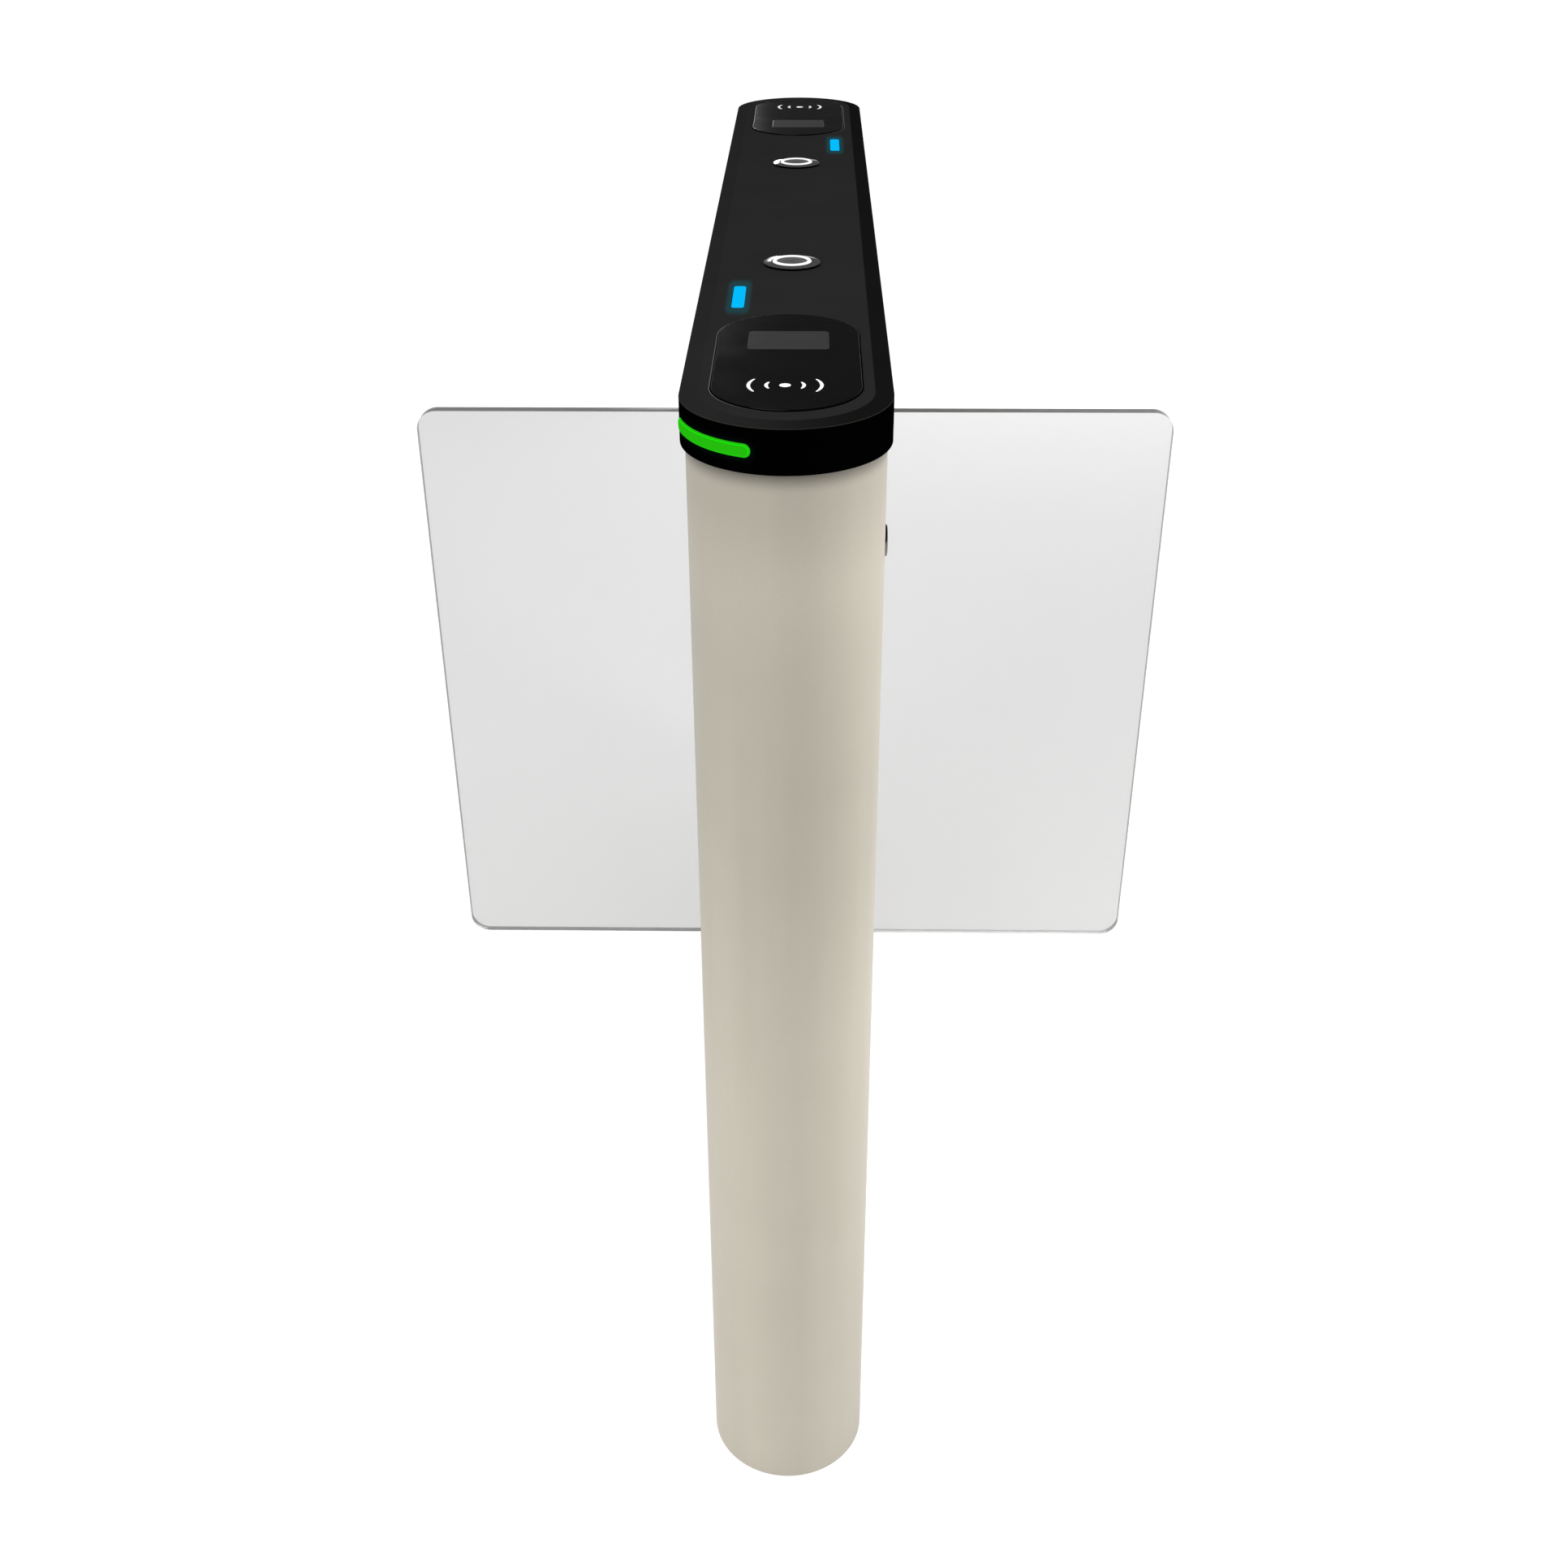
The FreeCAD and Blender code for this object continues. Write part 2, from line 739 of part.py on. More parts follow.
# Reader board: carries the antenna and the display, on the chassis posts.
def reader_board():
    return rounded_block(
        2 * board_half_width, 2 * board_half_length(), board_post_inset, 0, -reader_centre,
        board_top - board_thickness, board_top)


def display():
    return rounded_block(
        display_width, display_length, display_corner, 0, -display_centre,
        board_top, reader_top - display_sink)


# Reader window: a gloss plate on a ledge in the lid, standing proud of it, cut out for the
# display.
def reader_window():
    straight = reader_length / 2 - reader_half_width
    plate = stadium(reader_half_width, straight, reader_seat, reader_top, -reader_centre)
    opening = rounded_block(
        display_width + 2 * display_gap, display_length + 2 * display_gap,
        display_corner + display_gap, 0, -display_centre, reader_seat, reader_top)
    return plate.cut(opening)


# Status light: a bar of light guide through the lid, with a flange against its underside.
def status_light_bar(gap, z0, z1):
    return rounded_block(
        light_width + 2 * gap, light_length + 2 * gap, light_corner + gap,
        -light_offset, -light_centre, z0, z1)


def status_light():
    bar = status_light_bar(0, lid_under, gate_height)
    flange = status_light_bar(light_flange, lid_under - light_flange_thickness, lid_under)
    return bar.fuse(flange)


# Lamp strip: a band of light guide round the end of the lid skirt, with rounded ends.
def lamp_band(inner, outer, half_height, start, end):
    low = lamp_middle - half_height
    foot = FreeCAD.Vector(0, -end_centre, low)
    up = FreeCAD.Vector(0, 0, 1)
    span = end - start
    band = Part.makeCylinder(outer, 2 * half_height, foot, up, span)
    band = band.cut(rod(inner, low, low + 2 * half_height, 0, -end_centre))
    band = band.rotated(foot, up, start)
    ring = rod(outer, low, low + 2 * half_height, 0, -end_centre)
    ring = ring.cut(rod(inner, low, low + 2 * half_height, 0, -end_centre))
    ends = []
    for angle in (math.radians(start), math.radians(end)):
        outward = FreeCAD.Vector(math.cos(angle), math.sin(angle), 0)
        axis = FreeCAD.Vector(0, -end_centre, lamp_middle)
        ends.append(ring.common(Part.makeCylinder(half_height, 2 * lid_radius, axis, outward)))
    return band.fuse(ends).removeSplitter()


def lamp_opening(gap):
    half = lamp_height / 2
    margin = math.degrees(half / lid_radius)
    return lamp_band(
        lid_inner - lid_wall, lid_radius + lid_wall, half + gap, lamp_start + margin,
        lamp_end - margin)


def lamp_strip():
    half = lamp_height / 2
    margin = math.degrees(half / lid_radius)
    start = lamp_start + margin
    end = lamp_end - margin
    lens = lamp_band(lid_inner - press_gap, lid_radius + lamp_proud, half, start, end)
    flange = lamp_band(
        lid_inner - lamp_flange_thickness, lid_inner - press_gap, half + lamp_flange, start, end)
    return lens.fuse(flange)


def lid_boss_places():
    side_x = lid_inner - side_boss_wall_gap - lid_boss_radius
    places = [(side_x, -button_y + side_boss_setback), (-side_x, -button_y + side_boss_setback)]
    places.append((light_offset, -light_centre))
    places.append((0, -lid_length / 2 + end_boss_setback))
    return places


# Lid shell: skirt, shallow bevel and flat top in one shell, standing on bosses.
def lid_shell():
    skirt = stadium(lid_radius, end_centre, lid_bottom, band_top)
    cap = Part.makeLoft([
        stadium_wire(lid_radius, end_centre, band_top),
        stadium_wire(lid_radius - lid_bevel_inset, end_centre, gate_height)], True, True)
    shape = skirt.fuse(cap).removeSplitter()
    rim = [
        edge for edge in shape.Edges
        if edge.BoundBox.ZMin > band_top - edge_tolerance
        and edge.BoundBox.ZLength < edge_tolerance]
    shape = shape.makeFillet(lid_edge_round, rim)
    hollow = stadium(lid_inner, end_centre, lid_bottom, lid_under)
    straight = reader_length / 2 - reader_half_width
    pocket = stadium(
        reader_half_width + reader_groove, straight, reader_seat, gate_height, -reader_centre)
    well = stadium(
        reader_half_width - reader_ledge_width, straight, lid_under, reader_seat, -reader_centre)
    cuts = [
        pocket,
        well,
        rod(button_barrel_radius + slide_gap, lid_under, gate_height, 0, -button_y),
        status_light_bar(slide_gap, lid_under, gate_height),
        lamp_opening(slide_gap)]
    shape = shape.cut([hollow] + both_ends(cuts))
    bosses = [rod(lid_boss_radius, chassis_top, lid_under, x, y) for x, y in lid_boss_places()]
    return shape.fuse(both_ends(bosses))


# Lid keeper: a strap hung from the lid, with a foot under the tongue of the lock.
def lid_keeper():
    y0 = keeper_y - keeper_width / 2
    y1 = keeper_y + keeper_width / 2
    inner = keeper_outer - keeper_thickness
    foot_top = lock_z - cam_half_width - seat_gap
    strap = box(inner, keeper_outer, y0, y1, foot_top - keeper_thickness, lid_under)
    foot_inner = cam_outer - cam_thickness - keeper_foot_margin
    foot = box(foot_inner, keeper_outer, y0, y1, foot_top - keeper_thickness, foot_top)
    return strap.fuse(foot).removeSplitter()


# Lock barrel: a round head on the shell and a threaded sleeve through it.
def lock_barrel():
    end = body_radius - lock_barrel_length
    head = rod_x(lock_head_radius, body_radius, body_radius + lock_head_height, lock_y, lock_z)
    rim = [edge for edge in head.Edges if edge.BoundBox.XMin > body_radius + lock_head_height / 2]
    head = head.makeFillet(lock_head_round, [edge for edge in rim if edge.Closed])
    sleeve = rod_x(lock_barrel_radius, end, body_radius, lock_y, lock_z)
    bore = rod_x(
        lock_plug_radius + journal_gap, end, body_radius + lock_head_height, lock_y, lock_z)
    return head.fuse(sleeve).cut(bore)


def lock_plug():
    front = body_radius + lock_head_height - lock_plug_sink
    plug = rod_x(lock_plug_radius, cam_outer, front, lock_y, lock_z)
    slot = box(
        front - key_slot_depth, front, lock_y - key_slot_width / 2, lock_y + key_slot_width / 2,
        lock_z - key_slot_length / 2, lock_z + key_slot_length / 2)
    return plug.cut(slot)


# Lock cam: the tongue on the end of the plug, lying over the keeper's foot.
def lock_cam():
    inner = cam_outer - cam_thickness
    tongue = box(
        inner, cam_outer, lock_y, lock_y + cam_length, lock_z - cam_half_width,
        lock_z + cam_half_width)
    return tongue.fuse(rod_x(cam_half_width, inner, cam_outer, lock_y, lock_z)).removeSplitter()


def lock_nut():
    nut = hex_prism(lock_nut_radius, nut_height)
    nut = nut.cut(rod(lock_barrel_radius + press_gap, 0, nut_height))
    nut = nut.rotated(FreeCAD.Vector(0, 0, 0), FreeCAD.Vector(0, 1, 0), 90)
    return moved(nut, shell_inner - nut_height, lock_y, lock_z)


# Push button, built on the Z axis: bezel, light ring, sliding cap, return spring and nut.
button_top = gate_height + button_height
button_face = button_top - button_ring_proud
button_bottom = chassis_top + button_travel + button_under_gap
button_cup_floor = button_bottom + button_floor
button_cup = button_ring_outer - button_ledge
ring_seat = button_top - button_ring_depth
cap_stop = ring_seat - seat_gap
collar_bottom = cap_stop - cap_collar_height


def button_bezel():
    bore = button_ring_outer + slide_gap
    guide = cap_stem_radius + journal_gap
    rim_top = gate_height + button_flange_rim
    return revolved([
        (bore, button_face), (button_shoulder_radius, button_face),
        (button_flange_radius, rim_top), (button_flange_radius, gate_height),
        (button_barrel_radius, gate_height), (button_barrel_radius, button_bottom),
        (guide, button_bottom), (guide, button_cup_floor),
        (button_cup, button_cup_floor), (button_cup, ring_seat), (bore, ring_seat)])


def button_ring():
    ring = rod(button_ring_outer, ring_seat, button_top)
    ring = ring.cut(rod(button_ring_inner, ring_seat, button_top))
    crown = [edge for edge in ring.Edges if edge.BoundBox.ZMin > button_top - edge_tolerance]
    return ring.makeFillet(button_ring_round, crown)


def button_cap():
    cap = button_ring_inner - slide_gap
    shape = rod(cap, cap_stop, button_face)
    shape = shape.fuse([
        rod(button_cup - cap_collar_gap, collar_bottom, cap_stop),
        rod(cap_stem_radius, button_bottom + cap_stem_rise, collar_bottom)])
    return shape.removeSplitter()


def tangent_arc(start, corner, end):
    """The arc that leaves start towards the corner and comes to end from it, with equal legs."""
    middle = (start + end) * 0.5
    half_turn_angle = math.asin((corner - middle).Length / (corner - start).Length)
    share = math.cos(half_turn_angle) / (1 + math.cos(half_turn_angle))
    return Part.Arc(start, middle + (corner - middle) * share, end).toShape()


def coil_wire(radius, pitch, turns):
    """A helix on the Z axis as tangent arcs, two to each step of a turn."""
    step = 2 * math.pi / spring_steps

    def place(angle):
        return FreeCAD.Vector(
            radius * math.cos(angle), radius * math.sin(angle), pitch * angle / (2 * math.pi))

    def way(angle):
        return FreeCAD.Vector(
            -radius * math.sin(angle), radius * math.cos(angle), pitch / (2 * math.pi)).normalize()

    arcs = []
    for index in range(turns * spring_steps):
        start, end = place(index * step), place((index + 1) * step)
        leaving, arriving = way(index * step), way((index + 1) * step)
        span = end - start
        bend = 2 * (1 - leaving.dot(arriving))
        lean = span.dot(leaving + arriving)
        leg = (math.sqrt(lean * lean + bend * span.dot(span)) - lean) / bend
        first_corner = start + leaving * leg
        second_corner = end - arriving * leg
        meeting = (first_corner + second_corner) * 0.5
        arcs.append(tangent_arc(start, first_corner, meeting))
        arcs.append(tangent_arc(meeting, second_corner, end))
    return Part.Wire(arcs), way(0.0)


def button_spring():
    start = button_cup_floor + spring_wire + journal_gap
    height = collar_bottom - spring_wire - journal_gap - start
    path, way = coil_wire(spring_radius, height / spring_turns, spring_turns)
    section = Part.Circle(FreeCAD.Vector(spring_radius, 0, 0), way, spring_wire).toShape()
    return moved(path.makePipeShell([Part.Wire(section)], True, False), z=start)


def button_nut():
    nut = hex_prism(button_nut_radius, nut_height)
    nut = nut.cut(rod(button_barrel_radius + press_gap, 0, nut_height))
    return moved(nut, 0, -button_y, lid_under - nut_height)


os.makedirs("parts", exist_ok=True)
save("base_plate", base_plate())
save_pair("end_shell", "front", "rear", end_shell())
save_pair("side_panel", "right", "left", side_panel_right())
save_pair("bulkhead", "front", "rear", bulkhead())
save_pair("inner_post", "front", "rear", inner_post())
save("drive_shelf", drive_shelf())
save("bearing_shelf", bearing_shelf())
save_pair("bay_channel", "right", "left", bay_channel())
save("gear_guards", *both_ends([gear_guard()]))
save("column_bushes", *column_bushes())
save_pair("gearmotor", "right", "left", gearmotor())
save("beam_sensors", *beam_sensors())
save("panel_screws", *both_ends(screws_at_front(0.0)))
save("control_unit", electronics_box(control_unit_bottom, control_unit_height))
save("power_supply", half_turn(electronics_box(power_supply_bottom, power_supply_height)))

save("lid_shell", lid_shell())
save("lid_chassis", lid_chassis())
save_pair("reader_window", "front", "rear", reader_window())
save_pair("display", "front", "rear", display())
save("reader_boards", *both_ends([reader_board()]))
save_pair("status_light", "front", "rear", status_light())
save_pair("lamp_strip", "front", "rear", lamp_strip())
save("lid_keepers", *both_ends([lid_keeper()]))

save_pair("button_bezel", "front", "rear", moved(button_bezel(), y=-button_y))
save_pair("button_ring", "front", "rear", moved(button_ring(), y=-button_y))
save_pair("button_cap", "front", "rear", moved(button_cap(), y=-button_y))
save_pair("button_spring", "front", "rear", moved(button_spring(), y=-button_y))
save("mounting_nuts", *both_ends([button_nut(), lock_nut()]))
save_pair("lock_barrel", "front", "rear", lock_barrel())
save_pair("lock_plug", "front", "rear", lock_plug())
save_pair("lock_cam", "front", "rear", lock_cam())

save_pair("wing_glass", "right", "left", wing_glass())
save_pair("wing_column", "right", "left", wing_column())
save_pair("glass_gasket", "right", "left", glass_gasket())
save("clamp_bolts_right", *clamp_bolts())
save("clamp_bolts_left", *[half_turn(bolt) for bolt in clamp_bolts()])
save_pair("wing_gear", "right", "left", wing_gear())
save_pair("drive_gear", "right", "left", drive_gear())
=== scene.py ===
import json
import math

import bpy
from mathutils import Matrix, Vector


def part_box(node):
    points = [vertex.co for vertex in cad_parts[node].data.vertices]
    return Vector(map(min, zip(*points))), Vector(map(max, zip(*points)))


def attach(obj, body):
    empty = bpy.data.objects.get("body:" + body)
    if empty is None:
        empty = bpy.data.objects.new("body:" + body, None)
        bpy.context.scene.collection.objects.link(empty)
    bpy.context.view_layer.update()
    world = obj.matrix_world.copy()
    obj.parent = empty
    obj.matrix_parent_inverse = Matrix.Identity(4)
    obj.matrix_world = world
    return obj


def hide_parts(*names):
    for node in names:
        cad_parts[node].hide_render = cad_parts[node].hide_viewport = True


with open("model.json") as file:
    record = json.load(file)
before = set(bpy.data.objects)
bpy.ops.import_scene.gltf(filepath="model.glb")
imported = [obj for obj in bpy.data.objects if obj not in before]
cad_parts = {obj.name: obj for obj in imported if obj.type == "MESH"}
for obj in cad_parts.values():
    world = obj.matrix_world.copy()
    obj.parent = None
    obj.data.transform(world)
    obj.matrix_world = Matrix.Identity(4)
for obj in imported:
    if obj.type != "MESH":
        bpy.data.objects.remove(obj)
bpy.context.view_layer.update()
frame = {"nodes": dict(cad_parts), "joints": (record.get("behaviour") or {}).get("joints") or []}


# Base plate: one thick plate of zinc-plated steel on the floor inside the foot of the shells.
# It is drilled for four floor anchors and two cable entries, and shows from below.
class Signal:
    """A value in a node tree. Arithmetic on it adds Math nodes to that tree."""

    def __init__(self, tree, socket=None):
        self.tree = tree
        self.socket = socket

    def node(self, kind, output=0, settings=None, inputs=None):
        """Adds any other node: its settings first, then its inputs, linked or set."""
        node = self.tree.nodes.new(kind)
        for name, value in (settings or {}).items():
            setattr(node, name, value)
        for name, value in (inputs or {}).items():
            if isinstance(value, Signal):
                self.tree.links.new(value.socket, node.inputs[name])
            else:
                node.inputs[name].default_value = value
        return Signal(self.tree, node.outputs[output])

    def math(self, operation, first, second=0.0):
        return self.node("ShaderNodeMath", 0, {"operation": operation}, {0: first, 1: second})

    def __add__(self, other):
        return self.math("ADD", self, other)

    __radd__ = __add__

    def __sub__(self, other):
        return self.math("SUBTRACT", self, other)

    def __rsub__(self, other):
        return self.math("SUBTRACT", other, self)

    def __mul__(self, other):
        return self.math("MULTIPLY", self, other)

    __rmul__ = __mul__

    def __abs__(self):
        return self.math("ABSOLUTE", self)

    def fold(self, pitch):
        """Runs from 0 up to the pitch and back again, over and over."""
        return self.math("PINGPONG", self, pitch)

    def part(self, axis):
        """One axis of a position."""
        return self.node("ShaderNodeSeparateXYZ", axis, inputs={0: self})

    def noise(self, scale, detail=2.0, stretch=(1.0, 1.0, 1.0)):
        """Noise over this position: a larger scale is finer, a smaller stretch draws it out."""
        place = self.node("ShaderNodeMapping", inputs={"Vector": self, "Scale": stretch})
        return self.node(
            "ShaderNodeTexNoise", "Fac", inputs={"Vector": place, "Scale": scale, "Detail": detail})

    def rise(self, low, high):
        """A soft step from 0 at low to 1 at high."""
        return self.node(
            "ShaderNodeMapRange", 0, {"interpolation_type": "SMOOTHSTEP"},
            {"Value": self, "From Min": low, "From Max": high})

    def between(self, first, second):
        """A colour between two, with this value as the share of the second."""
        return self.node("ShaderNodeMix", 2, {"data_type": "RGBA"}, {0: self, 6: first, 7: second})

    def bump(self, strength, distance):
        """A normal from this height."""
        return self.node(
            "ShaderNodeBump", inputs={"Strength": strength, "Distance": distance, "Height": self})


def colour(red, green, blue, gain=1.0):
    """A colour as the eye sees it, in parts of 255, as the linear value a shader takes."""
    linear = []
    for part in (red / 255, green / 255, blue / 255):
        if part <= 0.04045:
            linear.append(gain * part / 12.92)
        else:
            linear.append(gain * ((part + 0.055) / 1.055) ** 2.4)
    return (*linear, 1.0)


def new_finish(name, constants):
    """A material with these constant shader sockets, and its position signal."""
    material = bpy.data.materials.new(name)
    material.use_nodes = True
    shader = material.node_tree.nodes["Principled BSDF"]
    for socket, value in constants.items():
        shader.inputs[socket].default_value = value
    place = Signal(material.node_tree).node("ShaderNodeTexCoord", "Object")
    return material, place


def feed(material, socket, signal):
    shader = material.node_tree.nodes["Principled BSDF"]
    material.node_tree.links.new(signal.socket, shader.inputs[socket])


def dress(material, *names):
    """Gives CAD nodes a finish."""
    for name in names:
        for slot in frame["nodes"][name].material_slots:
            slot.material = material


def plated_steel(name, tone):
    """Zinc plating: faint spangle, cloudy gloss."""
    material, place = new_finish(name, {"Metallic": 0.9})
    cell = place.node("ShaderNodeTexVoronoi", "Color", inputs={"Vector": place, "Scale": 110.0})
    spangle = cell.node("ShaderNodeSeparateColor", inputs={0: cell})
    cloud = place.noise(28.0, 4.0)
    tint = 0.6 * spangle + 0.4 * cloud
    feed(material, "Base Color", tint.between(colour(*tone, 0.82), colour(*tone, 1.08)))
    feed(material, "Roughness", 0.30 + 0.22 * cloud)
    feed(material, "Normal", cloud.bump(0.12, 0.0004))
    return material


dress(plated_steel("plate_zinc", (168, 168, 164)), "base_plate")


# Inner frame: bulkheads behind the seams, posts beside the drive bay, the lid chassis and its
# keepers, folded from plated sheet and screwed together. The two shelves and the gear guards have
# a dark coat; only the ears of the shelves show.
dress(
    plated_steel("frame_zinc", (150, 150, 146)),
    "bulkhead_front", "bulkhead_rear", "inner_post_front", "inner_post_rear", "lid_chassis",
    "lid_keepers")


def coated_metal(name, tone, roughness=0.5):
    """Fine-textured dark powder coat on a metal part."""
    material, place = new_finish(name, {"Specular IOR Level": 0.35})
    pebble = place.noise(1500.0, 2.0)
    cloud = place.noise(22.0, 3.0)
    tint = 0.55 * pebble + 0.45 * cloud
    feed(material, "Base Color", tint.between(colour(*tone, 0.75), colour(*tone, 1.2)))
    feed(material, "Roughness", (roughness - 0.06) + 0.12 * pebble)
    feed(material, "Normal", pebble.bump(0.25, 0.0001))
    return material


dress(coated_metal("shelf_coat", (52, 52, 54)), "drive_shelf", "bearing_shelf", "gear_guards")


# Wing drive: a gearmotor under the lower shelf turns a steel pinion shaft, which turns the gear
# on the column's journal. The columns run in flanged bronze bushes.
def cut_metal(name, tone, roughness=0.3):
    """Machined bare metal: fine tool marks round the part and a thin film of handling."""
    material, place = new_finish(name, {"Metallic": 1.0})
    marks = place.noise(40.0, 3.0, (1.0, 1.0, 60.0))
    film = place.noise(45.0, 3.0)
    tint = 0.5 * marks + 0.5 * film
    feed(material, "Base Color", tint.between(colour(*tone, 0.80), colour(*tone, 1.10)))
    feed(material, "Roughness", (roughness - 0.08) + 0.10 * marks + 0.08 * film)
    feed(material, "Normal", marks.bump(0.15, 0.00005))
    return material


dress(cut_metal("gear_cut", (150, 150, 152)),
      "wing_gear_left", "wing_gear_right", "drive_gear_left", "drive_gear_right")
dress(cut_metal("bush_bronze_turned", (176, 138, 86)), "column_bushes")
dress(coated_metal("motor_coat", (38, 39, 42), 0.42), "gearmotor_left", "gearmotor_right")


# Electronics: a control unit and a power supply on the bulkheads, and a reader board under each
# window. All are hidden once the shells are on.
def moulded(name, tone):
    """Moulded casing: fine spark texture, slight flow clouds."""
    material, place = new_finish(name, {"Specular IOR Level": 0.4})
    spark = place.noise(1100.0, 1.0)
    flow = place.noise(12.0, 2.0)
    feed(material, "Base Color", flow.between(colour(*tone, 0.88), colour(*tone, 1.1)))
    feed(material, "Roughness", 0.42 + 0.16 * spark)
    feed(material, "Normal", spark.bump(0.2, 0.00008))
    return material


dress(moulded("control_case", (70, 73, 78)), "control_unit")
dress(plated_steel("supply_case", (176, 178, 180)), "power_supply")
dress(moulded("board_mask", (22, 84, 52)), "reader_boards")


# End shells: half a stadium of 1.5 mm steel sheet, bent round each end of the cabinet, with a fine
# warm satin coat, a hole for the lid lock and countersunk screws beside the seam.
near = 0.0001
facing = 0.9
break_angle = math.radians(40)
smooth_angle = math.radians(35)
edge_break = 0.0003
round_steps = 128
shell_wall = 0.0015
shell_low, shell_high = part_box("end_shell_front")
body_radius = shell_high.x
end_centre = -shell_low.y - body_radius
lock_low, lock_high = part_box("lock_barrel_front")
lock_place = (lock_low + lock_high) / 2
lock_hole = 0.0096
lock_reach = 0.1
seam_y = 0.430
screw_offset = 0.0075
screw_margin = 0.060
screw_rows = 4
screw_head = 0.0029
screw_shank = 0.0015
screw_clear = 0.00005
screw_low = shell_low.z + screw_margin
screw_pitch = (shell_high.z - screw_margin - screw_low) / (screw_rows - 1)
screw_heights = [screw_low + screw_pitch * row for row in range(screw_rows)]
# Heights of the painted shade on the shell: just under the lid, down its neck, and a broad band round
# its waist.
lid_shade = (0.953, 0.967)
neck_shade = (0.870, 0.955)
waist_shade = (0.400, 0.740)
waist_end = (0.800, 0.960)
half_turn = Matrix.Rotation(math.pi, 4, "Z")


def settle():
    """Puts the place of the primitive just added into its mesh."""
    bpy.ops.object.transform_apply(location=True, rotation=True, scale=True)
    return bpy.context.object


def add_box(low, high):
    """A box between two corners."""
    low, high = Vector(low), Vector(high)
    bpy.ops.mesh.primitive_cube_add(size=1.0, location=(low + high) / 2)
    bpy.context.object.scale = high - low
    return settle()


def add_rod(radius, foot, tip, steps=64, tip_radius=None):
    """A round bar from foot to tip, or a cone where its tip has a radius of its own."""
    foot, tip = Vector(foot), Vector(tip)
    along = tip - foot
    bpy.ops.mesh.primitive_cone_add(
        vertices=steps, radius1=radius, radius2=radius if tip_radius is None else tip_radius,
        depth=along.length, location=(foot + tip) / 2,
        rotation=along.to_track_quat("Z", "Y").to_euler())
    return settle()


def done():
    bpy.ops.object.mode_set(mode="OBJECT")


def pick(kind, parts, test):
    """In edit mode, selects those parts of the active mesh that pass the test."""
    bpy.ops.object.mode_set(mode="EDIT")
    bpy.ops.mesh.select_mode(type=kind)
    bpy.ops.mesh.select_all(action="DESELECT")
    done()
    for part in getattr(bpy.context.object.data, parts):
        part.select = test(part)
    bpy.ops.object.mode_set(mode="EDIT")


def pick_points(test):
    pick("VERT", "vertices", lambda point: test(point.co))


def draw_out(x=0.0, y=0.0, z=0.0):
    """Extrudes what is selected."""
    bpy.ops.mesh.extrude_region_move(TRANSFORM_OT_translate={"value": (x, y, z)})


def take(*pieces):
    """Selects these pieces alone. The first becomes the active one."""
    bpy.ops.object.select_all(action="DESELECT")
    for piece in pieces:
        piece.select_set(True)
    bpy.context.view_layer.objects.active = pieces[0]


def apply(piece, kind, **settings):
    """Adds a modifier with these settings and applies it."""
    modifier = piece.modifiers.new(kind.lower(), kind)
    for name, value in settings.items():
        setattr(modifier, name, value)
    bpy.context.view_layer.objects.active = piece
    bpy.ops.object.modifier_apply(modifier=modifier.name)


def cut(piece, *cutters):
    """Takes cutters out of a piece, and removes the cutters."""
    for cutter in cutters:
        apply(piece, "BOOLEAN", operation="DIFFERENCE", solver="EXACT", object=cutter)
        mesh = cutter.data
        bpy.data.objects.remove(cutter)
        bpy.data.meshes.remove(mesh)


def break_edges(piece, width, segments=2):
    apply(piece, "BEVEL", width=width, segments=segments, limit_method="ANGLE",
          angle_limit=break_angle)


def soften(piece, width, segments=2):
    """Breaks the sharp edges, then shades round walls smooth and flat faces flat."""
    break_edges(piece, width, segments)
    take(piece)
    bpy.ops.object.shade_smooth_by_angle(angle=smooth_angle)
    apply(piece, "WEIGHTED_NORMAL", keep_sharp=True)


def copy_by(piece, matrix):
    """A copy with its own mesh, moved by a matrix."""
    copy = piece.copy()
    copy.data = piece.data.copy()
    copy.data.transform(matrix)
    bpy.context.scene.collection.objects.link(copy)
    return copy


def fit(piece, name, material, body, slot, *nodes):
    """Names and finishes a piece, and sets it on its body in place of CAD nodes."""
    piece.name = name
    piece.data.name = name
    if material is not None:
        piece.data.materials.clear()
        piece.data.materials.append(material)
    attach(piece, body)
    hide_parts(*nodes)


def fit_twins(piece, name, material, body, slot, *nodes, ends=("front", "rear")):
    """Fits a piece and its half-turn copy. The braces in a name stand for the end or the side."""
    for twin, end in zip((piece, copy_by(piece, half_turn)), ends):
        replaced = [node.format(end) for node in nodes]
        fit(twin, name.format(end), material, body.format(end), slot, *replaced)


def satin_shell():
    """Warm satin coat: fine grain, faint upright bands and clouds, and painted shade under the lid,
    down its neck and round its waist.
    """
    material, place = new_finish("shell_satin", {"Metallic": 0.3, "Specular IOR Level": 0.4})
    grain = place.noise(1300.0, 2.0)
    bands = place.noise(1.0, 2.0, (30.0, 30.0, 1.5))
    clouds = place.noise(6.0, 3.0)
    tint = 0.30 * grain + 0.30 * bands + 0.40 * clouds
    coat = tint.rise(0.2, 0.8).between(colour(189, 182, 167), colour(206, 200, 185))
    # Painted shade: darkest just under the lid, dimmer down the neck, and a broad darker band round
    # the waist.
    height = place.part("Z")
    waist = height.rise(*waist_shade) * (1 - height.rise(*waist_end))
    painted_shade = 0.46 * height.rise(*lid_shade) + 0.18 * height.rise(*neck_shade) + 0.12 * waist
    feed(material, "Base Color", painted_shade.between(coat, colour(0, 0, 0)))
    feed(material, "Roughness", 0.40 + 0.12 * grain + 0.06 * clouds)
    feed(material, "Normal", grain.bump(0.08, 0.00005))
    return material


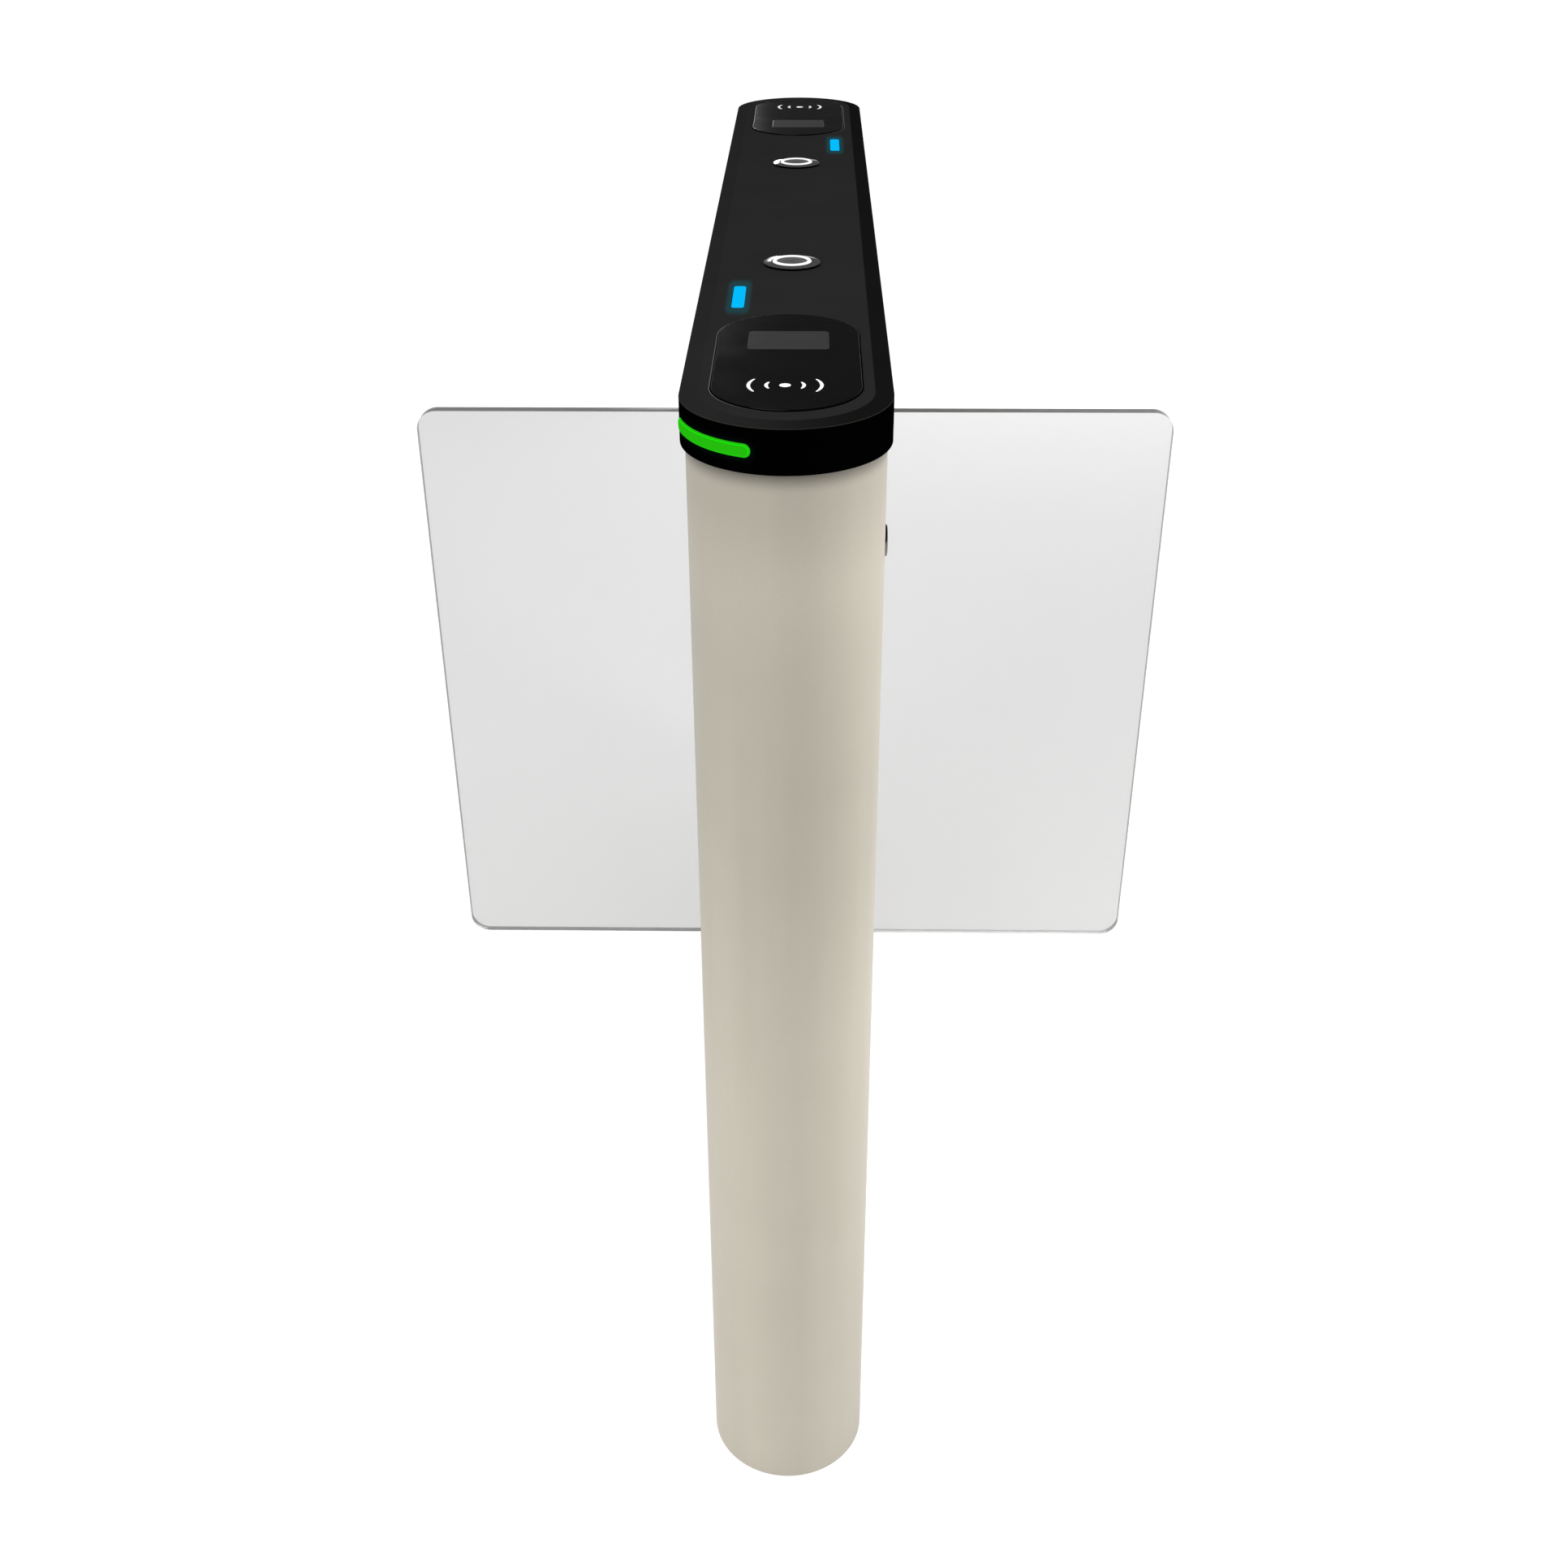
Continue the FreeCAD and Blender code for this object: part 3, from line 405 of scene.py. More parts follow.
def screw_mouths(y):
    """Cutters for the countersunk holes in one line up each side."""
    cutters = []
    for side in (-1, 1):
        for z in screw_heights:
            outside = (side * (body_radius + near), y, z)
            inside = (side * (body_radius - shell_wall - near), y, z)
            cutters.append(add_rod(
                screw_head + screw_clear + near, outside, inside, steps=24,
                tip_radius=screw_shank + screw_clear - near))
    return cutters


shell_satin = satin_shell()
bpy.ops.mesh.primitive_cylinder_add(
    vertices=round_steps, radius=body_radius, depth=shell_high.z - shell_low.z,
    end_fill_type="NOTHING", location=(0, -end_centre, (shell_low.z + shell_high.z) / 2))
end_shell = settle()
pick_points(lambda place: place.y > -end_centre + near)
bpy.ops.mesh.delete(type="VERT")
pick_points(lambda place: place.y > -end_centre - near)
draw_out(y=shell_high.y + end_centre)
done()
apply(end_shell, "SOLIDIFY", thickness=shell_wall, offset=-1.0, use_even_offset=True)
cut(end_shell, add_rod(
    lock_hole, (0, lock_place.y, lock_place.z), lock_place + Vector((lock_reach, 0, 0))))
cut(end_shell, *screw_mouths(-seam_y - screw_offset))
soften(end_shell, edge_break)
fit_twins(end_shell, "end_shell_bent_{}", shell_satin, "cabinet", "shell_metal", "end_shell_{}")


# Side panels: flat service panels of the same satin sheet between the end shells, with a tall
# window for the wing column and round holes for the beam sensors.
sides = ("right", "left")
window_half = 0.0175
window_bottom = 0.122
window_top = 0.844
sensor_along = 0.250
sensor_pitch = 0.250
sensor_heights = (sensor_pitch, 2 * sensor_pitch, 3 * sensor_pitch)
sensor_lens = 0.009
sensor_clear = 0.0001
panel_low, panel_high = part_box("side_panel_right")
panel_inside = panel_low.x - shell_wall
panel_outside = panel_high.x + shell_wall
side_panel = add_box(panel_low, panel_high)
cut(side_panel, add_box(
    (panel_inside, -window_half, window_bottom), (panel_outside, window_half, window_top)))
for sensor_y in (-sensor_along, sensor_along):
    for sensor_z in sensor_heights:
        cut(side_panel, add_rod(
            sensor_lens + sensor_clear, (panel_inside, sensor_y, sensor_z),
            (panel_outside, sensor_y, sensor_z), steps=48))
for screw_y in (-seam_y + screw_offset, seam_y - screw_offset):
    cut(side_panel, *screw_mouths(screw_y))
soften(side_panel, edge_break)
fit_twins(
    side_panel, "side_panel_flat_{}", shell_satin, "cabinet", "shell_metal", "side_panel_{}",
    ends=sides)


# Panel screws: small countersunk socket screws of bright steel, flush beside each seam, driven
# into the flanges of the bulkheads.
screw_length = 0.005
screw_edge = 0.0001
socket_radius = 0.0012
socket_depth = 0.0009
seam_lines = [seam + offset for seam in (-seam_y, seam_y) for offset in (-screw_offset, screw_offset)]


def pick_facing(x=0, y=0, z=0):
    """Selects the faces that look this way."""
    way = Vector((x, y, z))
    pick("FACE", "polygons", lambda face: face.normal.dot(way) > facing)


def step_in(width, rise=0.0):
    """Insets the selected faces, and lifts what is inside."""
    bpy.ops.mesh.inset(thickness=width, depth=rise)


def join(pieces):
    """Makes one object of many."""
    take(*pieces)
    bpy.ops.object.join()
    return pieces[0]


def on_both_sides(pattern, rows, heights):
    """One piece of many copies of a pattern that looks up, set on the flat sides to look out."""
    copies = []
    for side in (1, -1):
        turn = Matrix.Rotation(side * math.pi / 2, 4, "Y")
        for y in rows:
            for z in heights:
                spot = Matrix.Translation((side * body_radius, y, z))
                copies.append(copy_by(pattern, spot @ turn))
    bpy.data.objects.remove(pattern)
    return join(copies)


screw = add_rod(screw_shank, (0, 0, -shell_wall), (0, 0, 0), steps=12, tip_radius=screw_head)
pick_facing(z=-1)
draw_out(z=shell_wall - screw_length)
pick_facing(z=1)
step_in(screw_head - socket_radius)
draw_out(z=-socket_depth)
done()
soften(screw, screw_edge, 1)
fit(on_both_sides(screw, seam_lines, screw_heights), "panel_socket_screws",
    cut_metal("screw_bright", (186, 186, 186), 0.25), "cabinet", "screw_steel", "panel_screws")


# Beam sensors: dark round lenses behind a thin collar, flush with the panels, their plastic
# bodies seated against the inside of the sheet.
sensor_body = 0.012
sensor_length = 0.022
sensor_edge = 0.0002
collar_width = 0.0014
collar_step = 0.0004
dome_rings = 4
dome_rise = 0.0001


def widen(about, x=1.0, y=1.0, z=1.0):
    """Steps what is selected outwards: an extrusion in place, scaled about a point."""
    draw_out()
    bpy.ops.transform.resize(value=(x, y, z), center_override=about)


def length_of(first, second):
    return first.math("SQRT", first * first + second * second)


def sensor_finish():
    """Smoked lens inside, satin collar outside, told apart by the distance from the axis."""
    material, place = new_finish("sensor_smoke", {"Specular IOR Level": 0.5})
    grain = place.noise(900.0, 2.0)
    deep = place.noise(60.0, 2.0)
    from_axis = length_of(
        abs(place.part("Y")) - sensor_along, place.part("Z").fold(sensor_pitch / 2))
    collar = from_axis.rise(sensor_lens - collar_width - near, sensor_lens - collar_width + near)
    lens = deep.between(colour(26, 14, 18), colour(44, 22, 28))
    rubber = grain.between(colour(44, 44, 45), colour(62, 62, 63))
    feed(material, "Base Color", collar.between(lens, rubber))
    feed(material, "Roughness", 0.10 + 0.12 * grain + 0.30 * collar)
    feed(material, "Normal", grain.bump(0.03, 0.00005))
    return material


sensor = add_rod(sensor_lens, (0, 0, -shell_wall), (0, 0, 0), steps=48)
pick_facing(z=1)
step_in(collar_width)
draw_out(z=-collar_step)
for dome_ring in range(dome_rings):
    step_in((sensor_lens - collar_width) / (dome_rings + 1), dome_rise)
pick_facing(z=-1)
widen((0, 0, -shell_wall), x=sensor_body / sensor_lens, y=sensor_body / sensor_lens)
draw_out(z=-sensor_length)
done()
soften(sensor, sensor_edge)
fit(on_both_sides(sensor, (-sensor_along, sensor_along), sensor_heights), "beam_sensor_lenses",
    sensor_finish(), "cabinet", "sensor_lens", "beam_sensors")


# Bay channels: folded black sheet that closes the recess behind each column, flanged against the
# inside of the panel.
dress(coated_metal("recess_coat", (30, 30, 31), 0.6), "bay_channel_left", "bay_channel_right")


# Wing columns: slotted steel bars with a flat front, turned down to a journal at each end, satin
# finished. Each glass is clamped in its slot on a rubber gasket by three bolts.
column_radius = 0.014
column_flat = 0.011
column_bottom = 0.172
column_top = 0.826
column_edge = 0.0005
journal_radius = 0.008
slot_half = 0.007
slot_back = 0.008
slot_bottom = 0.190
slot_top = 0.810
clamp_offset = 0.002
clamp_radius = 0.003
clamp_head = 0.005
clamp_seat = 0.0095
clamp_clear = 0.0001
clamp_margin = 0.070
column_low, column_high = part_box("wing_column_right")
glass_low, glass_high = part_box("wing_glass_right")
clamp_heights = (
    glass_low.z + clamp_margin, (glass_low.z + glass_high.z) / 2, glass_high.z - clamp_margin)
wing_axis = next(j["pos_m"][0] for j in frame["joints"] if j["name"] == "wing_right_swing")
clamp_x = wing_axis + clamp_offset


def column_satin():
    """Satin steel bar: upright brushing over a cloudy gloss."""
    material, place = new_finish("column_satin", {"Metallic": 0.9})
    brushing = place.noise(1.0, 3.0, (1800.0, 1800.0, 14.0))
    clouds = place.noise(18.0, 3.0)
    tint = 0.6 * brushing + 0.4 * clouds
    feed(material, "Base Color", tint.between(colour(140, 138, 134), colour(182, 180, 175)))
    feed(material, "Roughness", 0.26 + 0.16 * brushing)
    feed(material, "Normal", brushing.bump(0.12, 0.00005))
    return material


def across_column(radius, start, end, height, steps):
    """A cutter through the column at one of its bolts."""
    return add_rod(radius, (clamp_x, start, height), (clamp_x, end, height), steps)


column = add_rod(column_radius, (wing_axis, 0, column_bottom), (wing_axis, 0, column_top), steps=96)
for end, journal_end in ((-1, column_low.z - column_bottom), (1, column_high.z - column_top)):
    pick_facing(z=end)
    step_in(column_radius - journal_radius)
    draw_out(z=journal_end)
    done()
column_front = wing_axis + column_radius + near
cut(column,
    add_box((wing_axis + column_flat, -column_radius - near, slot_bottom),
            (column_front, column_radius + near, slot_top)),
    add_box((wing_axis - slot_back, -slot_half, slot_bottom), (column_front, slot_half, slot_top)))
for clamp_z in clamp_heights:
    cut(column, across_column(
        clamp_radius + clamp_clear, -column_radius, column_radius, clamp_z, steps=32))
    for side in (-1, 1):
        cut(column, across_column(
            clamp_head + clamp_clear, side * clamp_seat, side * 2 * column_radius, clamp_z, steps=48))
soften(column, column_edge)
fit_twins(
    column, "wing_column_bar_{}", column_satin(), "wing_{}", "column_steel", "wing_column_{}",
    ends=sides)


# Clamp bolts: sleeve bolts of bright steel, three through each glass, with a flat socket head on
# each side that is sunk into the lips of the column.
clamp_head_height = 0.003
clamp_socket = 0.0027
clamp_socket_depth = 0.0018
head_scale = clamp_head / clamp_radius
head_top = clamp_seat + clamp_head_height
bolt = across_column(clamp_radius, -clamp_seat, clamp_seat, 0, steps=48)
for side in (-1, 1):
    pick_facing(y=side)
    widen((clamp_x, side * clamp_seat, 0), x=head_scale, z=head_scale)
    draw_out(y=side * clamp_head_height)
    done()
    cut(bolt, across_column(
        clamp_socket, side * (head_top - clamp_socket_depth), side * (head_top + clamp_socket_depth),
        0, steps=6))
soften(bolt, edge_break)
bolts = [copy_by(bolt, Matrix.Translation((0, 0, clamp_z))) for clamp_z in clamp_heights]
bpy.data.objects.remove(bolt)
fit_twins(
    join(bolts), "clamp_socket_bolts_{}", cut_metal("bolt_bright", (178, 178, 176), 0.22), "wing_{}",
    "screw_steel", "clamp_bolts_{}", ends=sides)


# Glass gaskets: thin channels of black rubber round the inner edge of each glass, pressed with it
# into the slot of the column.
dress(moulded("gasket_black", (24, 24, 25)), "glass_gasket_left", "glass_gasket_right")


# Wing glass: a 12 mm slab of clear glass, its outer corners rounded, its arrises polished. The broad
# faces are clear with a faint grey body and let the lamps through; the ground edges are pale, with
# painted shade that makes them greyer along the top.
glass_corner = 0.020
glass_arris = 0.0007
glass_clear = 0.001
glass_facing = 0.95


def pick_edges(test):
    """Selects the edges whose two ends pass the test."""
    points = bpy.context.object.data.vertices
    pick("EDGE", "edges", lambda edge: test(*[points[index].co for index in edge.vertices]))


def round_over(width, segments):
    """Rounds the selected edges, and leaves edit mode."""
    bpy.ops.mesh.bevel(offset=width, segments=segments, affect="EDGES")
    done()


def grey(value, gain=1.0):
    return colour(value, value, value, gain)


def clear_sheet():
    """Clear glass: a faint grey body, a few soft smears in the gloss."""
    material, place = new_finish(
        "wing_clear_sheet", {"Transmission Weight": 1.0, "IOR": 1.5, "Specular IOR Level": 0.1})
    smear = place.noise(6.0, 3.0, (1.0, 1.0, 0.4))
    feed(material, "Base Color", smear.between(grey(209), grey(213)))
    feed(material, "Roughness", 0.02 * smear)
    return material


def ground_edge():
    """Ground and polished edge: pale, with painted shade greyer along the top, and fine grinding marks
    along it.
    """
    material, place = new_finish("wing_ground_edge", {"Transmission Weight": 0.25, "IOR": 1.5})
    marks = place.noise(1.0, 2.0, (60.0, 2500.0, 60.0))
    # Painted shade: the top edge is painted greyer than the others.
    shaded_top_edge = marks.between(colour(140, 141, 141), colour(166, 167, 167))
    lower = marks.between(colour(206, 207, 207), colour(222, 223, 223))
    top = place.part("Z").rise(glass_high.z - glass_corner, glass_high.z - glass_corner / 4)
    feed(material, "Base Color", top.between(lower, shaded_top_edge))
    feed(material, "Roughness", 0.22 + 0.14 * marks)
    feed(material, "Normal", marks.bump(0.05, 0.00005))
    return material


wing = add_box(glass_low, glass_high)
pick_edges(lambda first, second: min(first.x, second.x) > glass_high.x - near
           and abs(first.z - second.z) < near)
round_over(glass_corner, segments=16)
for clamp_z in clamp_heights:
    cut(wing, across_column(
        clamp_radius + glass_clear, -column_radius, column_radius, clamp_z, steps=32))
break_edges(wing, glass_arris)
wing.data.materials.append(clear_sheet())
wing.data.materials.append(ground_edge())
for face in wing.data.polygons:
    face.material_index = 0 if abs(face.normal.y) > glass_facing else 1
    face.use_smooth = face.material_index == 1
wing.visible_shadow = False
fit_twins(wing, "wing_sheet_{}", None, "wing_{}", "wing_clear", "wing_glass_{}", ends=sides)


# Lid locks: a turned head of dark chrome on the shell, with a keyed plug that turns in it and a
# steel tongue behind.
lock_rim = 0.0012
lock_land = 0.0022
lock_groove = 0.0006
lock_edge = 0.0002
plug_radius = 0.006
plug_clear = 0.00005
slot_length = 0.008
slot_width = 0.002
slot_depth = 0.008
plug_low, plug_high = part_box("lock_plug_front")
head_radius = (lock_high.z - lock_low.z) / 2


def on_lock(x, y=0.0, z=0.0):
    """A point at x on the axis of the front lock, or beside it."""
    return (x, lock_place.y + y, lock_place.z + z)


def dark_chrome(name, tone, roughness):
    """Dark plated metal: even tone, small haze in the gloss."""
    material, place = new_finish(name, {"Metallic": 1.0})
    haze = place.noise(260.0, 3.0)
    film = place.noise(30.0, 2.0)
    feed(material, "Base Color", film.between(colour(*tone, 0.85), colour(*tone, 1.15)))
    feed(material, "Roughness", roughness + 0.08 * haze)
    feed(material, "Normal", haze.bump(0.03, 0.00005))
    return material


barrel = add_rod(head_radius, on_lock(body_radius), on_lock(lock_high.x), steps=96)
pick_facing(x=1)
step_in(lock_land)
step_in(lock_groove, -lock_groove)
step_in(lock_groove, lock_groove)
pick_facing(x=-1)
step_in(head_radius - lock_hole + plug_clear)
draw_out(x=lock_low.x - body_radius)
done()
cut(barrel, add_rod(plug_radius + plug_clear, on_lock(lock_low.x - near), on_lock(lock_high.x + near)))
pick_edges(lambda *ends: all(
    end.x > lock_high.x - near and (end - lock_place).yz.length > head_radius - near
    for end in ends))
round_over(lock_rim, segments=5)
soften(barrel, lock_edge)
plug = add_rod(plug_radius, on_lock(plug_low.x), on_lock(plug_high.x))
cut(plug, add_box(
    on_lock(plug_high.x - slot_depth, -slot_width / 2, -slot_length / 2),
    on_lock(plug_high.x + near, slot_width / 2, slot_length / 2)))
soften(plug, edge_break)
fit_twins(
    barrel, "lock_head_{}", dark_chrome("lock_dark", (118, 114, 106), 0.18), "cabinet",
    "lock_chrome", "lock_barrel_{}")
fit_twins(
    plug, "lock_key_plug_{}", dark_chrome("plug_bright", (150, 148, 142), 0.22), "lock_{}",
    "lock_chrome", "lock_plug_{}")
dress(cut_metal("tongue_steel", (150, 150, 148)), "lock_cam_front", "lock_cam_rear",
      "mounting_nuts", "button_spring_front", "button_spring_rear")


# Lid shell: one aluminium cover, black powder coat, standing wider than the body. A plain skirt,
# a shallow bevel and a flat top, pierced for readers, lights, buttons and the lamp strips.
lid_wall = 0.0025
lid_under = 0.996
lid_bevel_inset = 0.013
lid_bevel_rise = 0.0015
lid_edge_round = 0.0006
lid_low, lid_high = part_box("lid_shell")
reader_low, reader_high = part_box("reader_window_front")
light_low, light_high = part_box("status_light_front")
button_low, button_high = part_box("button_bezel_front")
lid_top = 1.000
skirt_bottom = 0.9675
band_top = lid_top - lid_bevel_rise
hole_top = lid_top + lid_wall
hole_bottom = lid_under - lid_wall
lid_radius = lid_high.x
lid_length = lid_high.y - lid_low.y
lid_centre = lid_high.y - lid_radius
reader_length = reader_high.y - reader_low.y
reader_width = reader_high.x - reader_low.x
reader_centre = (reader_low.y + reader_high.y) / 2
reader_groove = 0.0010
reader_ledge = 0.003
light_flange = 0.003
light_corner = 0.003
slot_gap = 0.0001
light_length = light_high.y - light_low.y - 2 * light_flange
light_width = light_high.x - light_low.x - 2 * light_flange
light_place = (light_low + light_high) / 2
button_y = ((button_low + button_high) / 2).y
barrel_radius = 0.0199
lamp_height = 0.0092
lamp_rise = 0.0150
lamp_middle = skirt_bottom + lamp_rise
lamp_start = math.radians(-170.0)
lamp_end = math.radians(-108.0)
lamp_turn = (lamp_start + lamp_end) / 2
lamp_length = (lamp_end - lamp_start) * lid_radius
lamp_steps = 40
# Reach of the painted glow beside the lights, where the painted shade of the slope turns from left to
# right, and the width and side of the painted highlight along the reader grooves.
lamp_glow = (0.0045, 0.0005)
light_glow = (0.0062, 0.0020)
glow_stretch = 0.26
slope_turn = (-0.060, 0.050)
groove_shine = 0.0011
groove_side = (-0.010, -0.045)


def round_bar(length, width, low, high, steps=round_steps):
    """A bar along Y with round ends: a drum pulled apart at its middle."""
    bpy.ops.mesh.primitive_cylinder_add(
        vertices=steps, radius=width / 2 / math.cos(math.pi / steps), depth=high - low,
        location=(0, 0, (low + high) / 2), rotation=(0, 0, math.pi / steps))
    bar = settle()
    for side in (-1, 1):
        pick_points(lambda place: place.y * side > 0)
        bpy.ops.transform.translate(value=(0, side * (length - width) / 2, 0))
        done()
    return bar


def slide(piece, y=0.0, z=0.0):
    piece.data.transform(Matrix.Translation((0, y, z)))
    return piece


def rounded_box(width, length, corner, x, y, low, high):
    """A block with four round upright edges."""
    block = add_box((x - width / 2, y - length / 2, low), (x + width / 2, y + length / 2, high))
    pick_edges(lambda first, second: abs(first.z - second.z) > near)
    round_over(corner, segments=6)
    return block


def wrap(piece, centre, radius, middle):
    """Bends a piece that lies along Y round an upright axis: its Y is the way round."""
    for point in piece.data.vertices:
        angle = middle + point.co.y / radius
        reach = radius + point.co.x
        point.co.x = centre[0] + reach * math.cos(angle)
        point.co.y = centre[1] + reach * math.sin(angle)
    return piece


def slice_along(piece, length, count):
    """Cuts a piece across its length, so that it can bend."""
    take(piece)
    bpy.ops.object.mode_set(mode="EDIT")
    for step in range(1, count):
        bpy.ops.mesh.select_all(action="SELECT")
        bpy.ops.mesh.bisect(plane_co=(0, length * (step / count - 0.5), 0), plane_no=(0, 1, 0))
    done()


def lamp_bar(inner, outer, margin, bevel=0.0):
    """The curved bar of a lamp strip, between two radii, with a margin round its outline."""
    length = lamp_length + 2 * margin
    bar = round_bar(
        length, lamp_height + 2 * margin, inner - lid_radius, outer - bevel - lid_radius, steps=48)
    if bevel > 0:
        pick_facing(z=1)
        step_in(bevel, bevel)
        done()
    bar.data.transform(Matrix.Rotation(math.pi / 2, 4, "Y"))
    slice_along(bar, length, lamp_steps)
    wrap(bar, (0, -lid_centre), lid_radius, lamp_turn)
    return slide(bar, z=lamp_middle)


def front_place(place):
    """The position turned to the front end, because each end is the other's twin."""
    turn = place.math("SIGN", place.part("Y"))
    return place.part("X") * turn * -1.0, abs(place.part("Y")) * -1.0


def past(distance, limit):
    """How far a distance goes past a limit, or 0 inside it."""
    return distance.math("MAXIMUM", distance - limit, 0.0)


def from_lamp(place):
    """How far outside the outline of a lamp strip a position lies, measured round the skirt."""
    x, y = front_place(place)
    angle = x.math("ARCTAN2", y + lid_centre, x)
    along = abs(angle - lamp_turn) * lid_radius
    straight = (lamp_length - lamp_height) / 2
    return length_of(past(along, straight), abs(place.part("Z") - lamp_middle)) - lamp_height / 2


def lid_coat():
    """Black fine-textured powder coat with painted light and shade: paler on top and down its left
    slope, darker down its right slope and near black on the skirt, with a painted highlight along its
    rim and the left of the reader grooves, and a painted glow beside the lights that also darkens the
    coat there."""
    material, place = new_finish("lid_coat", {"Specular IOR Level": 0.0, "Emission Strength": 1.0})
    pebble = place.noise(1300.0, 2.0)
    cloud = place.noise(14.0, 3.0)
    tint = 0.5 * pebble + 0.5 * cloud
    height = place.part("Z")
    # Painted shade: the top paler than the slopes, the left slope paler than the right, the skirt near
    # black.
    lit_slope = tint.between(grey(34), grey(45))
    shaded_slope = tint.between(grey(18), grey(25))
    slope = place.part("X").rise(*slope_turn).between(lit_slope, shaded_slope)
    charcoal = tint.between(grey(36), grey(48))
    top = height.rise(lid_top - near, lid_top).between(slope, charcoal)
    skirt = tint.between(grey(0), grey(3))
    coat = height.rise(band_top - lid_edge_round, band_top).between(skirt, top)
    # Painted highlight: a pale line along the rim.
    rim_highlight = abs(height - (band_top - lid_edge_round / 2)).rise(lid_edge_round / 2, 0.0)
    coat = (0.5 * rim_highlight).between(coat, colour(74, 68, 60))
    # Painted highlight along the left of each reader groove.
    x, y = front_place(place)
    on_top = height.rise(band_top, lid_top)
    round_end = past(abs(y - reader_centre), (reader_length - reader_width) / 2)
    groove = length_of(x, round_end) - reader_width / 2 - reader_groove
    groove_highlight = groove.rise(groove_shine, 0.0) * x.rise(*groove_side) * on_top
    coat = (0.8 * groove_highlight).between(coat, colour(118, 116, 110))
    # Painted glow round the lights, which also darkens the coat under it.
    beside = past(abs(x - light_place.x), light_width / 2)
    beyond = past(abs(y - light_place.y), light_length / 2) * glow_stretch
    blue_glow = length_of(beside, beyond).rise(*light_glow)
    green_glow = from_lamp(place).rise(*lamp_glow)
    blue = blue_glow.between(grey(0), colour(0, 54, 60))
    green = green_glow.between(grey(0), colour(2, 9, 8))
    feed(material, "Base Color", (0.24 * blue_glow).between(coat, grey(0)))
    feed(material, "Emission Color", on_top.between(green, blue))
    feed(material, "Roughness", 0.46 + 0.16 * pebble)
    feed(material, "Normal", pebble.bump(0.18, 0.0001))
    return material


lid = round_bar(lid_length, 2 * lid_radius, skirt_bottom, band_top)
pick_facing(z=1)
step_in(lid_bevel_inset, lid_bevel_rise)
pick_edges(lambda first, second: min(first.z, second.z) > band_top - near)
round_over(lid_edge_round, segments=4)
cut(lid, round_bar(
    lid_length - 2 * lid_wall, 2 * (lid_radius - lid_wall), skirt_bottom - lid_wall, lid_under))
for end in (1, -1):
    cut(lid,
        slide(round_bar(reader_length + 2 * reader_groove, reader_width + 2 * reader_groove,
                        reader_low.z, hole_top), y=end * reader_centre),
        slide(round_bar(reader_length - 2 * reader_ledge, reader_width - 2 * reader_ledge,
                        hole_bottom, hole_top), y=end * reader_centre),
        add_rod(barrel_radius + slot_gap, (0, end * button_y, hole_bottom),
                (0, end * button_y, hole_top)),
        rounded_box(light_width + 2 * slot_gap, light_length + 2 * slot_gap, light_corner,
                    end * light_place.x, end * light_place.y, hole_bottom, hole_top))
    lamp_slot = lamp_bar(lid_radius - 2 * lid_wall, lid_radius + 2 * lid_wall, slot_gap)
    if end == -1:
        lamp_slot.data.transform(half_turn)
    cut(lid, lamp_slot)
soften(lid, edge_break)
fit(lid, "lid_cover", lid_coat(), "cabinet", "lid_black", "lid_shell")


# Reader windows: gloss black acrylic plates on a ledge in the lid, standing a little proud of it,
# rounded along the rim and cut out for the display. A white contactless mark is printed on each.
display_low, display_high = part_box("display_front")
display_width = display_high.x - display_low.x
display_length = display_high.y - display_low.y
display_centre = (display_low.y + display_high.y) / 2
display_gap = 0.0002
display_corner = 0.0025
mark_x = -0.0010
mark_y = -0.5200
mark_dot = 0.0039
mark_radii = (0.0127, 0.0245)
mark_stroke = 0.0024
mark_taper = 0.55
mark_half_angle = math.radians(33.0)
mark_slices = 16
print_height = 0.00005
print_top = reader_high.z + print_height
window_round = 0.0005
window_edge = 0.0001


def reader_gloss():
    """Black acrylic: deep gloss with faint finger haze, and painted shade that turns its wall black.
    """
    material, place = new_finish("reader_gloss_black", {"Specular IOR Level": 0.2})
    haze = place.noise(24.0, 4.0)
    dust = place.noise(1600.0, 1.0)
    # Painted shade: the wall below the rounded top edge is painted black.
    face = place.part("Z").rise(reader_high.z - window_round, reader_high.z)
    tone = haze.between(grey(12), grey(17))
    feed(material, "Base Color", face.between(grey(0), tone))
    feed(material, "Roughness", 0.05 + 0.08 * haze + 0.03 * dust)
    return material


def printed_white():
    """Screen-printed white ink: slightly uneven cover, with painted light that makes it glow faintly.
    """
    material, place = new_finish(
        "mark_print", {"Specular IOR Level": 0.2, "Roughness": 0.6, "Emission Strength": 0.35})
    cover = place.noise(2200.0, 2.0)
    ink = cover.between(grey(226), grey(250))
    feed(material, "Base Color", ink)
    # Painted light: the ink glows faintly though it is no lamp.
    feed(material, "Emission Color", ink)
    return material


window = slide(round_bar(reader_length, reader_width, reader_low.z, reader_high.z), y=reader_centre)
pick_edges(lambda first, second: min(first.z, second.z) > reader_high.z - near)
round_over(window_round, segments=4)
cut(window, rounded_box(
    display_width + 2 * display_gap, display_length + 2 * display_gap,
    display_corner + display_gap, 0, display_centre, reader_low.z - lid_wall, hole_top))
soften(window, window_edge, 1)
marks = [add_rod(mark_dot, (mark_x, mark_y, reader_high.z), (mark_x, mark_y, print_top), steps=48)]
for radius in mark_radii:
    for middle in (0.0, math.pi):
        arc_length = 2 * mark_half_angle * radius
        arc = round_bar(arc_length, mark_stroke, reader_high.z, print_top, steps=24)
        slice_along(arc, arc_length, mark_slices)
        for point in arc.data.vertices:
            point.co.x *= 1 - mark_taper * (2 * point.co.y / arc_length) ** 2
        marks.append(wrap(arc, (mark_x, mark_y), radius, middle))
